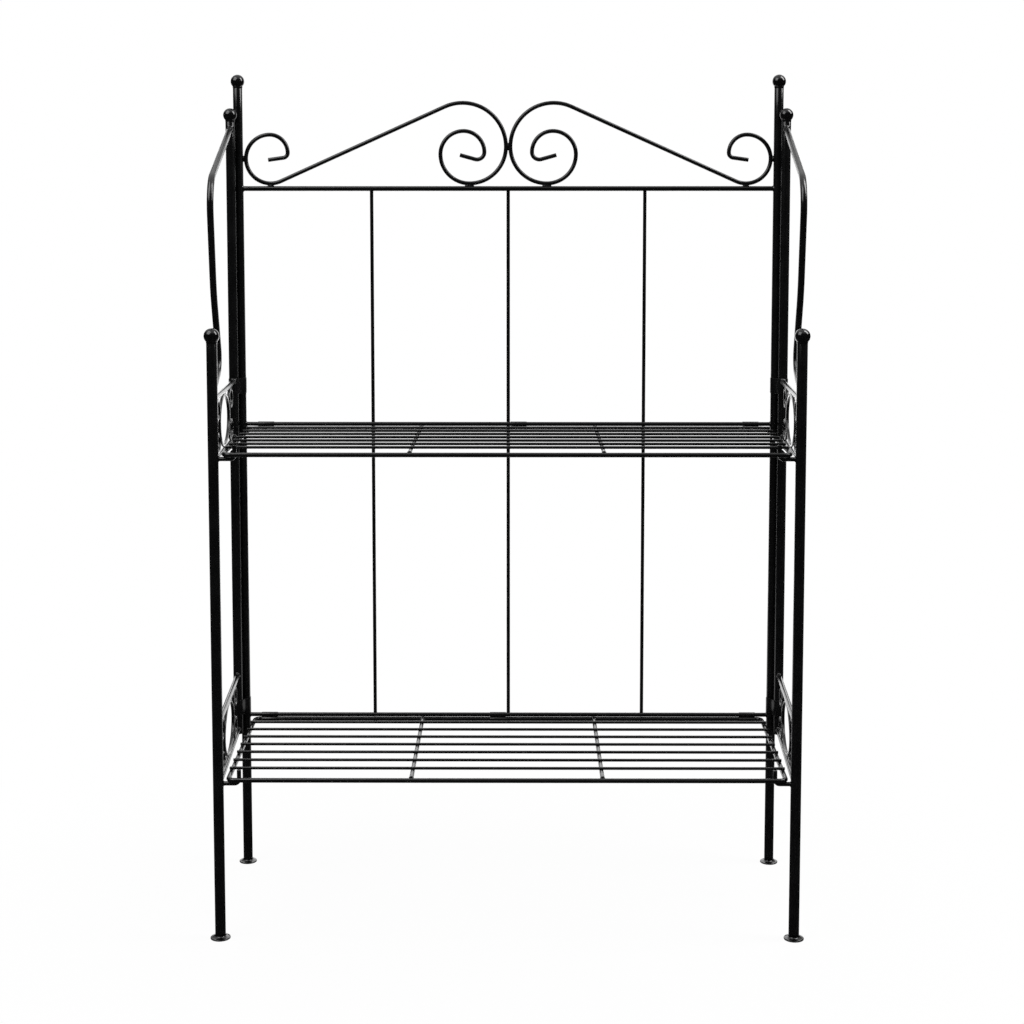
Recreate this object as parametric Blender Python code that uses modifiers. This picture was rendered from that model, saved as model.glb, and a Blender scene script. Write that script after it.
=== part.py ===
"""Folding two-shelf plant stand of black powder-coated steel tube, rod and sheet.

Metres, +Z up, front towards -Y, origin on the floor at the middle of the footprint.
The back frame stands still. Each side frame hinges on a back post by two sheet straps.
Each shelf hinges on its back rail by three sheet sleeves, and its front corners rest on
hooks of the side frames. To fold the stand, the shelves swing up against the back.
"""

import math

import bmesh
import bpy
from mathutils import Vector

# Plan of the stand
BACK_SPAN = 0.700  # between the axes of the back posts
SIDE_TOE_IN = 0.0055  # each front post's axis stands this far inside its back post's
FOOTPRINT_DEPTH = 0.280  # over the feet, front to back

# Heights, each counted from the one before it
LOWER_RAIL_Z = 0.2022
SHELF_SPACING = 0.3903
TOP_RAIL_RISE = 0.3078  # from the upper back rail
STILE_RISE = 0.3939  # from the upper back rail to the stile's end
BACK_POST_RISE = 0.0437  # from the stile's end to the back post's end
FRONT_POST_RISE = 0.0593  # from the arch rail's foot to the front post's end

# Tubes, their balls and feet
FRONT_TUBE_D = 0.0126
REAR_TUBE_D = 0.0121
TUBE_WALL = 0.0010
FRONT_BALL_D = 0.0184
REAR_BALL_D = 0.0177
BALL_WELD = 0.0016  # height of the weld fillet under a ball
FRONT_FOOT_D = 0.0240
REAR_FOOT_D = 0.0230
FOOT_RIM = 0.0016
FOOT_CROWN = 0.0032  # height of the foot's dome at the tube
FOOT_SAG = 0.0002  # hollow of the dome, half way out
FOOT_EASE = 0.0004  # rounding of the rim's upper edge
FOOT_PLUG = 0.0100

# Rods of the back frame
TOP_RAIL_D = 0.0065
BACK_RAIL_D = 0.0055
BACK_WIRE_D = 0.0046
BACK_WIRE_PITCH = 0.178
BACK_WIRE_OVERHANG = 0.0015
CREST_D = 0.0054

# Crest scrolls: the large curl at the middle, the small one at the post
CREST_SLOPE_R = 0.0562  # large curl, from the slope round to the middle
CREST_LOW_R = 0.0474  # from the middle down to the rail
CREST_RADII = (0.0376, 0.0299, 0.0271)  # then by quarter turns inwards
CREST_HOOK_R = 0.0096
CREST_HOOK_TURN = 105.5
CREST_TAIL = 0.0203
CREST_END_SLOPE_R = 0.0315  # small curl, from the slope down to the rail
CREST_END_RADII = (0.0318, 0.0310, 0.0233)
CREST_END_HOOK_R = 0.0065
CREST_END_HOOK_TURN = 82.0
CREST_END_TAIL = 0.0200
CREST_POST_GAP = 0.0009
CREST_RAIL_GAP = 0.0007

# Side frames
STILE_SWING = 57.6  # degrees from straight out towards the front, about the back post
STILE_GAP = 0.0004  # between the stile's ball and the back post
STILE_END = 0.0030  # stile below the lowest guard rail
GUARD_D = 0.0065
GUARD_RISE = 0.0630  # upper guard rail above the shelf rods
GUARD_DROP = 0.0100  # lower guard rail below the shelf rods
RING_D = 0.0053
SCROLL_ARM = 0.0210
SCROLL_BACK_R = 0.0200
SCROLL_CURL_R = 0.0125
SCROLL_CURL_TURN = 235.0
ARCH_D = 0.0080
ARCH_GUARD_GAP = 0.00125
ARCH_STILE_DROP = 0.0110  # rail's start below the stile's end
ARCH_BEND_BACK, ARCH_BEND_RISE, ARCH_BEND_R = 0.0, 0.2437, 0.0400
ARCH_KNEE_BACK, ARCH_KNEE_RISE, ARCH_KNEE_R = 0.0280, 0.1176, 0.1200
ARCH_WAIST_BACK, ARCH_WAIST_RISE, ARCH_WAIST_R = 0.0800, 0.0266, 0.0220
HOOK_D = 0.0052
HOOK_BEND_R = 0.0055
HOOK_TIP_RISE = 0.0165
HOOK_PLAY = 0.0070  # between the hook's tip and the shelf's side rod
STRAP_T = 0.0010
STRAP_H = 0.0200
STRAP_RAIL_GAP = 0.0010
UPPER_STRAP_RISE = 0.0512  # middle of the upper strap above the upper back rail

# Shelves
SHELF_ROD_D = 0.0056
SHELF_SIDE_GAP = 0.0034  # between the shelf and the posts
SHELF_CORNER_R = 0.0080
FRONT_BAR_GAP = 0.0006  # between the hook's tip and the front rod
SHELF_WIRE_D = 0.0036
SHELF_WIRES = 7
WIRE_END_INSET = 0.0005
CROSS_BAR_D = 0.0053
CROSS_BAR_X = 0.1139
SLEEVE_T = 0.0006
SLEEVE_W = 0.0210
SLEEVE_CORNER_GAP = 0.0010
SLEEVE_WIRE_GAP = 0.0010

# Fits and facets
GAP = 0.0003  # between pieces that touch
WELD = 0.0011  # depth that rods fused by a weld sink into each other
TURN_STEPS = 12
ARC_STEP = math.radians(20)
SMALL_ROD_STEPS, ROUND_ROD_STEPS, FULL_ROD_STEPS = 1, 2, 3  # bevel resolutions: 6, 8 and 10 sides

# Places worked out from the sizes above
FRONT_SPAN = BACK_SPAN - 2 * SIDE_TOE_IN
FRONT_Y = -FOOTPRINT_DEPTH / 2 + FRONT_FOOT_D / 2
BACK_Y = FOOTPRINT_DEPTH / 2 - REAR_FOOT_D / 2
UPPER_RAIL_Z = LOWER_RAIL_Z + SHELF_SPACING
TOP_RAIL_Z = UPPER_RAIL_Z + TOP_RAIL_RISE
RAIL_TO_SHELF = BACK_RAIL_D / 2 + GAP + SHELF_ROD_D / 2
LOWER_SHELF_Z = LOWER_RAIL_Z - RAIL_TO_SHELF
UPPER_SHELF_Z = UPPER_RAIL_Z - RAIL_TO_SHELF
STILE_TOP = UPPER_RAIL_Z + STILE_RISE
BACK_POST_TOP = STILE_TOP + BACK_POST_RISE
STILE_BOTTOM = LOWER_SHELF_Z - GUARD_DROP - GUARD_D / 2 - STILE_END
ARCH_FOOT_Z = UPPER_SHELF_Z + GUARD_RISE + GUARD_D / 2 + ARCH_D / 2 + ARCH_GUARD_GAP
FRONT_POST_TOP = ARCH_FOOT_Z + FRONT_POST_RISE
FRONT_BAR_Y = FRONT_Y - HOOK_D / 2 - FRONT_BAR_GAP - SHELF_ROD_D / 2
SHELF_REAR_X = BACK_SPAN / 2 - REAR_TUBE_D / 2 - SHELF_SIDE_GAP - SHELF_ROD_D / 2
SHELF_FRONT_X = FRONT_SPAN / 2 - FRONT_TUBE_D / 2 - SHELF_SIDE_GAP - SHELF_ROD_D / 2
STILE_REACH = REAR_BALL_D / 2 + REAR_TUBE_D / 2 + STILE_GAP
STRAP_RADIUS = REAR_TUBE_D / 2 + GAP + STRAP_T
LOWER_STRAP_Z = LOWER_RAIL_Z + BACK_RAIL_D / 2 + STRAP_RAIL_GAP + STRAP_H / 2
UPPER_STRAP_Z = UPPER_RAIL_Z + UPPER_STRAP_RISE


def clear_scene():
    for old in list(bpy.data.objects):
        bpy.data.objects.remove(old, do_unlink=True)


def new_collection(name):
    collection = bpy.data.collections.new(name)
    bpy.context.scene.collection.children.link(collection)
    return collection


def finish(name, colour, roughness):
    material = bpy.data.materials.new(name)
    material.use_nodes = True
    shader = material.node_tree.nodes["Principled BSDF"]
    shader.inputs["Base Color"].default_value = (*colour, 1.0)
    shader.inputs["Roughness"].default_value = roughness
    shader.inputs["Metallic"].default_value = 0.0
    return material


clear_scene()
PARTS = new_collection("folding_plant_stand")
WELDED = new_collection("rods_fused_into_others")
POWDER_COAT = finish("black_powder_coat", (0.012, 0.012, 0.013), 0.34)
BALL_COAT = finish("black_ball_coat", (0.010, 0.010, 0.011), 0.22)
SHEET_COAT = finish("black_hinge_sheet", (0.014, 0.014, 0.015), 0.40)
FOOT_COAT = finish("black_foot", (0.016, 0.016, 0.017), 0.30)


def holder(name, location):
    """Empty on a joint's axis that carries the pieces of one moving body."""
    carrier = bpy.data.objects.new(name, None)
    carrier.location = location
    PARTS.objects.link(carrier)
    return carrier


def add_piece(name, data, carrier, material, place=(0, 0, 0), turn=(0, 0, 0)):
    """Object at a world place, parented to its body's carrier."""
    piece = bpy.data.objects.new(name, data)
    piece.parent = carrier
    piece.location = Vector(place) - carrier.location
    piece.rotation_euler = turn
    data.materials.append(material)
    PARTS.objects.link(piece)
    return piece


def turned(name, profile, carrier, material, place, closed=False):
    """Profile of (radius, height) points, outer side top to bottom, turned about Z."""
    edges = [(i, i + 1) for i in range(len(profile) - 1)]
    if closed:
        edges.append((len(profile) - 1, 0))
    mesh = bpy.data.meshes.new(name)
    mesh.from_pydata([(radius, 0, height) for radius, height in profile], edges, [])
    piece = add_piece(name, mesh, carrier, material, place)
    screw = piece.modifiers.new("turn", "SCREW")
    screw.steps = TURN_STEPS
    screw.render_steps = TURN_STEPS
    screw.use_merge_vertices = True
    screw.merge_threshold = 0.00001
    screw.use_smooth_shade = True
    return piece


def rod_curve(name, paths, diameter, facets, closed=False):
    """Curve of one straight-segment spline for each path, bevelled to a capped rod."""
    curve = bpy.data.curves.new(name, "CURVE")
    curve.dimensions = "3D"
    curve.bevel_depth = diameter / 2
    curve.bevel_resolution = facets
    curve.use_fill_caps = True
    for path in paths:
        spline = curve.splines.new("POLY")
        spline.points.add(len(path) - 1)
        for point, at in zip(spline.points, path):
            point.co = (*at, 1.0)
        spline.use_cyclic_u = closed
    return curve


def rod(name, path, diameter, carrier, place=(0, 0, 0), turn=(0, 0, 0), facets=ROUND_ROD_STEPS):
    curve = rod_curve(name, [path], diameter, facets)
    return add_piece(name, curve, carrier, POWDER_COAT, place, turn)


def rod_mesh(name, paths, diameter, facets, closed=False):
    """Closed mesh of one or more rods, for rods that a union fuses."""
    source = bpy.data.objects.new(name, rod_curve(name, paths, diameter, facets, closed))
    WELDED.objects.link(source)
    graph = bpy.context.evaluated_depsgraph_get()
    mesh = bpy.data.meshes.new_from_object(source.evaluated_get(graph))
    bpy.data.objects.remove(source)
    shell = bmesh.new()
    shell.from_mesh(mesh)
    bmesh.ops.remove_doubles(shell, verts=shell.verts, dist=0.000001)
    shell.to_mesh(mesh)
    shell.free()
    return mesh


def weld_rods(piece, mesh):
    """Fuse a mesh of further rods, given in the piece's own frame, into the piece."""
    helper = bpy.data.objects.new(piece.name + "_rods", mesh)
    helper.parent = piece
    helper.hide_render = True
    helper.display_type = "WIRE"
    WELDED.objects.link(helper)
    union = piece.modifiers.new("weld", "BOOLEAN")
    union.operation = "UNION"
    union.object = helper


def sheet_loop(name, radius, thickness, length, width, carrier, place, turn):
    """Sheet strip of a width, closed round two equal rods whose axes are a length apart."""
    curve = bpy.data.curves.new(name, "CURVE")
    curve.dimensions = "2D"
    curve.fill_mode = "BOTH"
    curve.extrude = width / 2
    for reach in (radius + thickness, radius):
        outline = arc((0, 0), reach, 90, 270) + arc((length, 0), reach, -90, 90)
        spline = curve.splines.new("POLY")
        spline.points.add(len(outline) - 1)
        for point, (u, v) in zip(spline.points, outline):
            point.co = (u, v, 0, 1)
        spline.use_cyclic_u = True
    return add_piece(name, curve, carrier, SHEET_COAT, place, turn)


def arc(centre, radius, start, end):
    """Points on a circle between two angles in degrees, both ends included."""
    steps = max(2, round(math.radians(abs(end - start)) / ARC_STEP))
    angles = [math.radians(start + (end - start) * k / steps) for k in range(steps + 1)]
    return [(centre[0] + radius * math.cos(a), centre[1] + radius * math.sin(a)) for a in angles]


def rounded(corners, closed=False):
    """Path through corners of (u, v, bend radius), with tangent arcs at the bends."""
    path = []
    last = len(corners) - 1
    for i, (u, v, radius) in enumerate(corners):
        corner = Vector((u, v))
        if not closed and i in (0, last):
            path.append((u, v))
            continue
        before = (Vector(corners[i - 1][:2]) - corner).normalized()
        after = (Vector(corners[(i + 1) % len(corners)][:2]) - corner).normalized()
        half = before.angle(after) / 2
        centre = corner + (before + after).normalized() * radius / math.sin(half)
        first = corner + before * radius / math.tan(half) - centre
        final = corner + after * radius / math.tan(half) - centre
        start = math.degrees(math.atan2(first.y, first.x))
        sweep = (math.degrees(math.atan2(final.y, final.x)) - start + 180) % 360 - 180
        path += arc(centre, radius, start, start + sweep)
    return path


def drawn_back(path, radius):
    """Path shortened so that its square, slanting ends clear the upright tubes they meet."""
    ends = []
    for tip, inner in ((path[0], path[1]), (path[-1], path[-2])):
        way = (Vector(inner) - Vector(tip)).normalized()
        ends.append(tuple(Vector(tip) + way * radius * abs(way.y / way.x)))
    return [ends[0], *path[1:-1], ends[1]]


def upright(path):
    """Points (u, v) of a drawing stood up: u along X and v along Z."""
    return [(u, 0, v) for u, v in path]


def flat(path):
    return [(u, v, 0) for u, v in path]


def tube(name, diameter, bottom, top, carrier, at):
    outer = diameter / 2
    bore = outer - TUBE_WALL
    wall = [(outer, top), (outer, bottom), (bore, bottom), (bore, top)]
    return turned(name, wall, carrier, POWDER_COAT, (*at, 0), closed=True)


def ball(name, ball_d, tube_d, tube_top, carrier, at):
    """Steel ball seated on the rim of an open tube, with its ring of weld."""
    radius = ball_d / 2
    bore = tube_d / 2 - TUBE_WALL
    sunk = math.degrees(math.acos((bore - GAP) / radius))
    centre = tube_top + GAP + math.sqrt(radius**2 - (bore - GAP) ** 2)
    weld_angle = math.degrees(math.asin((tube_top + GAP + BALL_WELD - centre) / radius))
    profile = arc((0, centre), radius, 90, weld_angle)
    profile.append((tube_d / 2, tube_top + GAP))
    profile += arc((0, centre), radius, -sunk, -90)
    return turned(name, profile, carrier, BALL_COAT, (*at, 0))


def foot(name, foot_d, tube_d, carrier, at):
    """Flat disc with a low dome up to the tube, and a plug in the tube's bore."""
    plug = tube_d / 2 - TUBE_WALL - GAP
    top = FOOT_CROWN + FOOT_PLUG
    dome = (foot_d + tube_d) / 4
    profile = [(0, top), (plug, top), (plug, FOOT_CROWN), (tube_d / 2, FOOT_CROWN)]
    rim = foot_d / 2
    profile += [(dome, (FOOT_CROWN + FOOT_RIM) / 2 - FOOT_SAG), (rim - FOOT_EASE, FOOT_RIM)]
    profile += [(rim, FOOT_RIM - FOOT_EASE), (rim, 0), (0, 0)]
    return turned(name, profile, carrier, FOOT_COAT, (*at, 0))


def curl(x, base, radii, hook, turn, tail):
    """Scroll end from its lowest point: a quarter turn of each radius, a hook and a tail."""
    path = [(x, base)]
    angle = 270
    for radius, sweep in [*((radius, 90) for radius in radii), (hook, turn)]:
        u, v = path[-1]
        way = math.radians(angle)
        centre = (u - radius * math.cos(way), v - radius * math.sin(way))
        path += arc(centre, radius, angle, angle - sweep)[1:]
        angle -= sweep
    u, v = path[-1]
    way = math.radians(angle)
    path.append((u + tail * math.sin(way), v - tail * math.cos(way)))
    return path


def crest_path():
    """Left crest scroll: small curl, straight slope tangent to both curls, large curl."""
    base = TOP_RAIL_Z + TOP_RAIL_D / 2 + CREST_RAIL_GAP + CREST_D / 2
    post_side = REAR_TUBE_D / 2 + CREST_POST_GAP + CREST_D / 2 - BACK_SPAN / 2
    end_low = post_side + CREST_END_RADII[0]
    end = (end_low, base + CREST_END_SLOPE_R)
    middle_side = -CREST_D / 2 - GAP / 2
    large = (middle_side - CREST_SLOPE_R, base + CREST_LOW_R)
    low = (middle_side - CREST_LOW_R, base + CREST_LOW_R)
    run = Vector(large) - Vector(end)
    across = CREST_END_SLOPE_R + CREST_SLOPE_R
    along = math.sqrt(run.length_squared - across**2)
    slope = math.degrees(math.atan2(run.y, run.x) + math.atan2(across, along))
    small_end = (CREST_END_HOOK_R, CREST_END_HOOK_TURN, CREST_END_TAIL)
    path = curl(end_low, base, CREST_END_RADII, *small_end)[::-1]
    path += arc(end, CREST_END_SLOPE_R, 270, 270 + slope)[1:]
    path += arc(large, CREST_SLOPE_R, 90 + slope, 0)
    path += arc(low, CREST_LOW_R, 0, -90)[1:]
    path += curl(low[0], base, CREST_RADII, CREST_HOOK_R, CREST_HOOK_TURN, CREST_TAIL)[1:]
    return path


def build_back_frame():
    frame = holder("back_frame", (0, 0, 0))
    for side, sign in (("left", -1), ("right", 1)):
        at = (sign * BACK_SPAN / 2, BACK_Y)
        tube(f"{side}_back_post", REAR_TUBE_D, FOOT_CROWN + GAP, BACK_POST_TOP, frame, at)
        ball(f"{side}_back_ball", REAR_BALL_D, REAR_TUBE_D, BACK_POST_TOP, frame, at)
        foot(f"{side}_back_foot", REAR_FOOT_D, REAR_TUBE_D, frame, at)
        crest = [(-sign * u, v) for u, v in crest_path()]
        rod(f"{side}_crest_scroll", upright(crest), CREST_D, frame, (0, BACK_Y, 0))
    reach = BACK_SPAN / 2 - REAR_TUBE_D / 2 - GAP
    rails = (
        ("top_rail", TOP_RAIL_Z, TOP_RAIL_D),
        ("upper_back_rail", UPPER_RAIL_Z, BACK_RAIL_D),
        ("lower_back_rail", LOWER_RAIL_Z, BACK_RAIL_D),
    )
    for name, z, diameter in rails:
        rod(name, [(-reach, 0, 0), (reach, 0, 0)], diameter, frame, (0, BACK_Y, z), facets=FULL_ROD_STEPS)
    wire_y = BACK_Y + max(TOP_RAIL_D, BACK_RAIL_D) / 2 + GAP + BACK_WIRE_D / 2
    wire_low = LOWER_RAIL_Z - BACK_RAIL_D / 2
    wire_high = TOP_RAIL_Z + TOP_RAIL_D / 2 + BACK_WIRE_OVERHANG
    for name, column in (("left", -1), ("middle", 0), ("right", 1)):
        path = [(0, 0, wire_low), (0, 0, wire_high)]
        rod(f"{name}_back_wire", path, BACK_WIRE_D, frame, (column * BACK_WIRE_PITCH, wire_y, 0))


def scroll_path(sign, start, reach):
    """C scroll: its back stands on the ring's side, its arms lie along the guard rails."""
    arm = SCROLL_BACK_R + SCROLL_ARM
    bend = arc((SCROLL_BACK_R, reach - SCROLL_BACK_R), SCROLL_BACK_R, 180, 90)
    end = arc((arm, reach - SCROLL_CURL_R), SCROLL_CURL_R, 90, 90 - SCROLL_CURL_TURN)
    upper = bend + end
    lower = [(u, -v) for u, v in upper]
    return [(start + sign * u, v) for u, v in lower[::-1] + upper]


def build_side(side, sign):
    hinge = Vector((sign * BACK_SPAN / 2, BACK_Y, 0))
    frame = holder(f"{side}_side_frame", hinge)
    swing = math.radians(STILE_SWING)
    stile = hinge + STILE_REACH * Vector((sign * math.cos(swing), -math.sin(swing), 0))
    post = Vector((sign * FRONT_SPAN / 2, FRONT_Y, 0))
    run = post - stile
    length = run.length
    along = (0, 0, math.atan2(run.y, run.x))

    tube(f"{side}_front_post", FRONT_TUBE_D, FOOT_CROWN + GAP, FRONT_POST_TOP, frame, post[:2])
    ball(f"{side}_front_ball", FRONT_BALL_D, FRONT_TUBE_D, FRONT_POST_TOP, frame, post[:2])
    foot(f"{side}_front_foot", FRONT_FOOT_D, FRONT_TUBE_D, frame, post[:2])
    tube(f"{side}_rear_stile", REAR_TUBE_D, STILE_BOTTOM, STILE_TOP, frame, stile[:2])
    ball(f"{side}_stile_ball", REAR_BALL_D, REAR_TUBE_D, STILE_TOP, frame, stile[:2])

    front_end = length - FRONT_TUBE_D / 2 - GAP
    rear_end = REAR_TUBE_D / 2 + GAP
    arch = [
        (rear_end, STILE_TOP - ARCH_STILE_DROP, 0),
        (length - ARCH_BEND_BACK, ARCH_FOOT_Z + ARCH_BEND_RISE, ARCH_BEND_R),
        (length - ARCH_KNEE_BACK, ARCH_FOOT_Z + ARCH_KNEE_RISE, ARCH_KNEE_R),
        (length - ARCH_WAIST_BACK, ARCH_FOOT_Z + ARCH_WAIST_RISE, ARCH_WAIST_R),
        (front_end, ARCH_FOOT_Z, 0),
    ]
    arch_path = drawn_back(rounded(arch), ARCH_D / 2)
    rod(f"{side}_arch_rail", upright(arch_path), ARCH_D, frame, stile, along, FULL_ROD_STEPS)

    strap_turn = (0, 0, math.atan2(stile.y - hinge.y, stile.x - hinge.x))
    levels = (("upper", UPPER_SHELF_Z, UPPER_STRAP_Z), ("lower", LOWER_SHELF_Z, LOWER_STRAP_Z))
    for level, shelf_z, strap_z in levels:
        name = f"{side}_{level}"
        strap_place = (hinge.x, hinge.y, strap_z)
        sheet_loop(
            f"{name}_hinge_strap",
            STRAP_RADIUS - STRAP_T,
            STRAP_T,
            STILE_REACH,
            STRAP_H,
            frame,
            strap_place,
            strap_turn,
        )
        high, low = shelf_z + GUARD_RISE, shelf_z - GUARD_DROP
        for label, z in (("top", high), ("bottom", low)):
            beside_strap = abs(z - strap_z) < (STRAP_H + GUARD_D) / 2 + GAP
            start = STRAP_RADIUS + GAP if beside_strap else rear_end
            path = [(start, 0, 0), (front_end, 0, 0)]
            place = stile + Vector((0, 0, z))
            rod(f"{name}_{label}_guard", path, GUARD_D, frame, place, along, FULL_ROD_STEPS)
        centre = stile + Vector((0, 0, (high + low) / 2))
        build_guard_scrollwork(name, frame, centre, along, length / 2, high - low)
        build_hook(name, frame, post, sign, shelf_z)


def build_guard_scrollwork(name, frame, place, along, middle, spacing):
    """Ring between the two guard rails, with a C scroll welded on either side of it."""
    reach = (spacing - GUARD_D - RING_D) / 2 - GAP
    circle = arc((middle, 0), reach, 0, 360)[:-1]
    ring = rod_mesh(f"{name}_guard_scrollwork", [upright(circle)], RING_D, SMALL_ROD_STEPS, closed=True)
    piece = add_piece(f"{name}_guard_scrollwork", ring, frame, POWDER_COAT, place, along)
    start = reach + RING_D - WELD
    scrolls = [upright(scroll_path(way, middle + way * start, reach)) for way in (-1, 1)]
    weld_rods(piece, rod_mesh(f"{name}_scrolls", scrolls, RING_D, SMALL_ROD_STEPS))


def build_hook(name, frame, post, sign, shelf_z):
    """J hook under the shelf's front corner, its tip inside the side rod."""
    z = shelf_z - SHELF_ROD_D / 2 - GAP - HOOK_D / 2
    tip = FRONT_SPAN / 2 - SHELF_FRONT_X + SHELF_ROD_D / 2 + HOOK_PLAY + HOOK_D / 2
    corners = [(FRONT_TUBE_D / 2 + GAP, 0, 0), (tip, 0, HOOK_BEND_R), (tip, HOOK_TIP_RISE, 0)]
    path = [(-sign * u, v) for u, v in rounded(corners)]
    rod(f"{name}_shelf_hook", upright(path), HOOK_D, frame, (post.x, post.y, z))


def shelf_half_width(y):
    """Distance of the side rod's axis from the middle plane, at a depth."""
    share = (y - FRONT_BAR_Y) / (BACK_Y - FRONT_BAR_Y)
    return SHELF_FRONT_X + (SHELF_REAR_X - SHELF_FRONT_X) * share


def build_shelf(level, rail_z, middle_sleeve):
    shelf_z = rail_z - RAIL_TO_SHELF
    shelf = holder(f"{level}_shelf", (0, BACK_Y, rail_z))
    corners = [
        (-SHELF_REAR_X, BACK_Y, SHELF_CORNER_R),
        (-SHELF_FRONT_X, FRONT_BAR_Y, SHELF_CORNER_R),
        (SHELF_FRONT_X, FRONT_BAR_Y, SHELF_CORNER_R),
        (SHELF_REAR_X, BACK_Y, SHELF_CORNER_R),
    ]
    name = f"{level}_shelf_frame"
    loop = rod_curve(name, [flat(rounded(corners, closed=True))], SHELF_ROD_D, ROUND_ROD_STEPS, closed=True)
    add_piece(name, loop, shelf, POWDER_COAT, (0, 0, shelf_z))

    wire_z = shelf_z + SHELF_ROD_D / 2 + GAP + SHELF_WIRE_D / 2
    pitch = (BACK_Y - FRONT_BAR_Y) / (SHELF_WIRES + 1)
    wires = []
    for i in range(SHELF_WIRES):
        y = BACK_Y - pitch * (i + 1)
        reach = shelf_half_width(y) + SHELF_ROD_D / 2 - WIRE_END_INSET
        wires.append([(-reach, y, 0), (reach, y, 0)])
    mesh = rod_mesh(f"{level}_shelf_wires", wires, SHELF_WIRE_D, SMALL_ROD_STEPS)
    grid = add_piece(f"{level}_shelf_wires", mesh, shelf, POWDER_COAT, (0, 0, wire_z))
    bar_z = WELD - (SHELF_WIRE_D + CROSS_BAR_D) / 2
    clear = SHELF_ROD_D / 2 + GAP
    bars = []
    for x in (-CROSS_BAR_X, CROSS_BAR_X):
        bars.append([(x, FRONT_BAR_Y + clear, bar_z), (x, BACK_Y - clear, bar_z)])
    weld_rods(grid, rod_mesh(f"{level}_cross_bars", bars, CROSS_BAR_D, ROUND_ROD_STEPS))

    end = SHELF_REAR_X - SHELF_CORNER_R - SLEEVE_CORNER_GAP - SLEEVE_W / 2
    beside_wire = BACK_WIRE_D / 2 + SLEEVE_WIRE_GAP + SLEEVE_W / 2
    for name, x in (("left", -end), ("middle", middle_sleeve * beside_wire), ("right", end)):
        sheet_loop(
            f"{level}_{name}_sleeve",
            max(BACK_RAIL_D, SHELF_ROD_D) / 2 + GAP,
            SLEEVE_T,
            RAIL_TO_SHELF,
            SLEEVE_W,
            shelf,
            (x, BACK_Y, rail_z),
            (0, math.pi / 2, 0),
        )


build_back_frame()
for side_name, side_sign in (("left", -1), ("right", 1)):
    build_side(side_name, side_sign)
build_shelf("upper", UPPER_RAIL_Z, 1)
build_shelf("lower", LOWER_RAIL_Z, -1)
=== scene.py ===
"""Dressed model of a folding plant stand: smooth rods, tubes, balls, hinge sheet and weld beads that
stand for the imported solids, under a black powder coat, on a pale studio floor."""

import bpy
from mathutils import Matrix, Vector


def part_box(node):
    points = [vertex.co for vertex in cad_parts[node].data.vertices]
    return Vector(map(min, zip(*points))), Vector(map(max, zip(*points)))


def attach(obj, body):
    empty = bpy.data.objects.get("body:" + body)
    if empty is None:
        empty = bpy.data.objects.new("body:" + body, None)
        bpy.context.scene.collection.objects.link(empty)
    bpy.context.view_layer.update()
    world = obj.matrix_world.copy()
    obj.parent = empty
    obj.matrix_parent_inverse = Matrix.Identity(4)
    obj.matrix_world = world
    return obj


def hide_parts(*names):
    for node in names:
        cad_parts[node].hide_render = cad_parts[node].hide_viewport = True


bl_info = {
    "name": "Folding plant stand",
    "version": (1, 0, 0),
    "blender": (4, 5, 0),
    "location": "View3D > Sidebar > Plant stand",
    "description": "Builds the dressed pieces of a folding plant stand and its studio",
    "category": "Object",
}

import math
from collections import namedtuple

import bpy
import numpy as np
from bpy.props import FloatProperty, FloatVectorProperty, IntProperty, PointerProperty
from mathutils import Matrix

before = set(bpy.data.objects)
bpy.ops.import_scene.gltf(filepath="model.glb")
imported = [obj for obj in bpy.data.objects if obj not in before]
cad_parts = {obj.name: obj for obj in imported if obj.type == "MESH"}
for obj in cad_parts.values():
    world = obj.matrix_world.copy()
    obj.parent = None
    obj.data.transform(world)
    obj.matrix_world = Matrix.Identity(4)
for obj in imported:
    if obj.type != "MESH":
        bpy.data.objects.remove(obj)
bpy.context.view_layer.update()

SIDES = (("left", -1), ("right", 1))
LEVELS = ("upper", "lower")
COLUMNS = ("left", "middle", "right")
UP = np.array([0.0, 0.0, 1.0])
ACROSS = np.array([1.0, 0.0, 0.0])
BACKWARD = np.array([0.0, 1.0, 0.0])

# Fits, in metres as all sizes here
GAP = 0.0003  # between pieces that touch
SHEET_GAP = 0.0001  # between a sheet and the rods that it is closed round
SINK = 0.0010  # depth of a welded rod's end in the metal that it meets
SAME = 1e-6  # points closer than this are one

# Skins
SHARP_EDGE = math.radians(52)  # edges that bend more stay crisp
EASE_POINTS, BAND_POINTS, CORNER_POINTS = 5, 21, 5
FILLET_SIDES, FILLET_POINTS = 40, 7
BEAD_ROWS, BEAD_SIDES = 15, 20

# Tubes, with the profile of their eased rims in shares of the ease
TUBE_STEP = 0.04
EASED_EDGE = np.array([[0.0, 1.0], [-0.3, 0.3], [-1.0, 0.0]])

# Balls, and their weld rings by places out from and above the tube's outer rim
BALL_POLE, BALL_STEP, BALL_SIDES = 89.5, 4.0, 64  # pole and step in degrees
RING_RISE = 0.0017  # upper edge of the ring
RING_BITE = 0.0001  # depth of that edge in the ball
RING_FOOT = np.array([-0.00005, -0.0012])
RING_PULL = np.array([0.0005, 0.0005])
RING_INSIDE = np.array([[-0.0012, 0.0009], [-0.0006, -0.0006]])
RING_SIDES, RING_WAVE = 56, 0.00006

# Feet; the dome's and neck's curves by their pull and end, out from the tube and above the floor
FOOT_EDGE_R = 0.0005
FOOT_LIP_R, FOOT_LIP_Z, FOOT_LIP_TURN = 0.0007, 0.0011, 80.0  # rim's upper rounding, its turn in degrees
FOOT_DOME = np.array([[0.0022, 0.0021], [0.0007, 0.0031]])
FOOT_NECK = np.array([[0.0001, 0.0035], [-0.0002, 0.0046]])
FOOT_CORNER_STEP, FOOT_NECK_POINTS, FOOT_MORE_SIDES = 20.0, 6, 16

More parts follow.
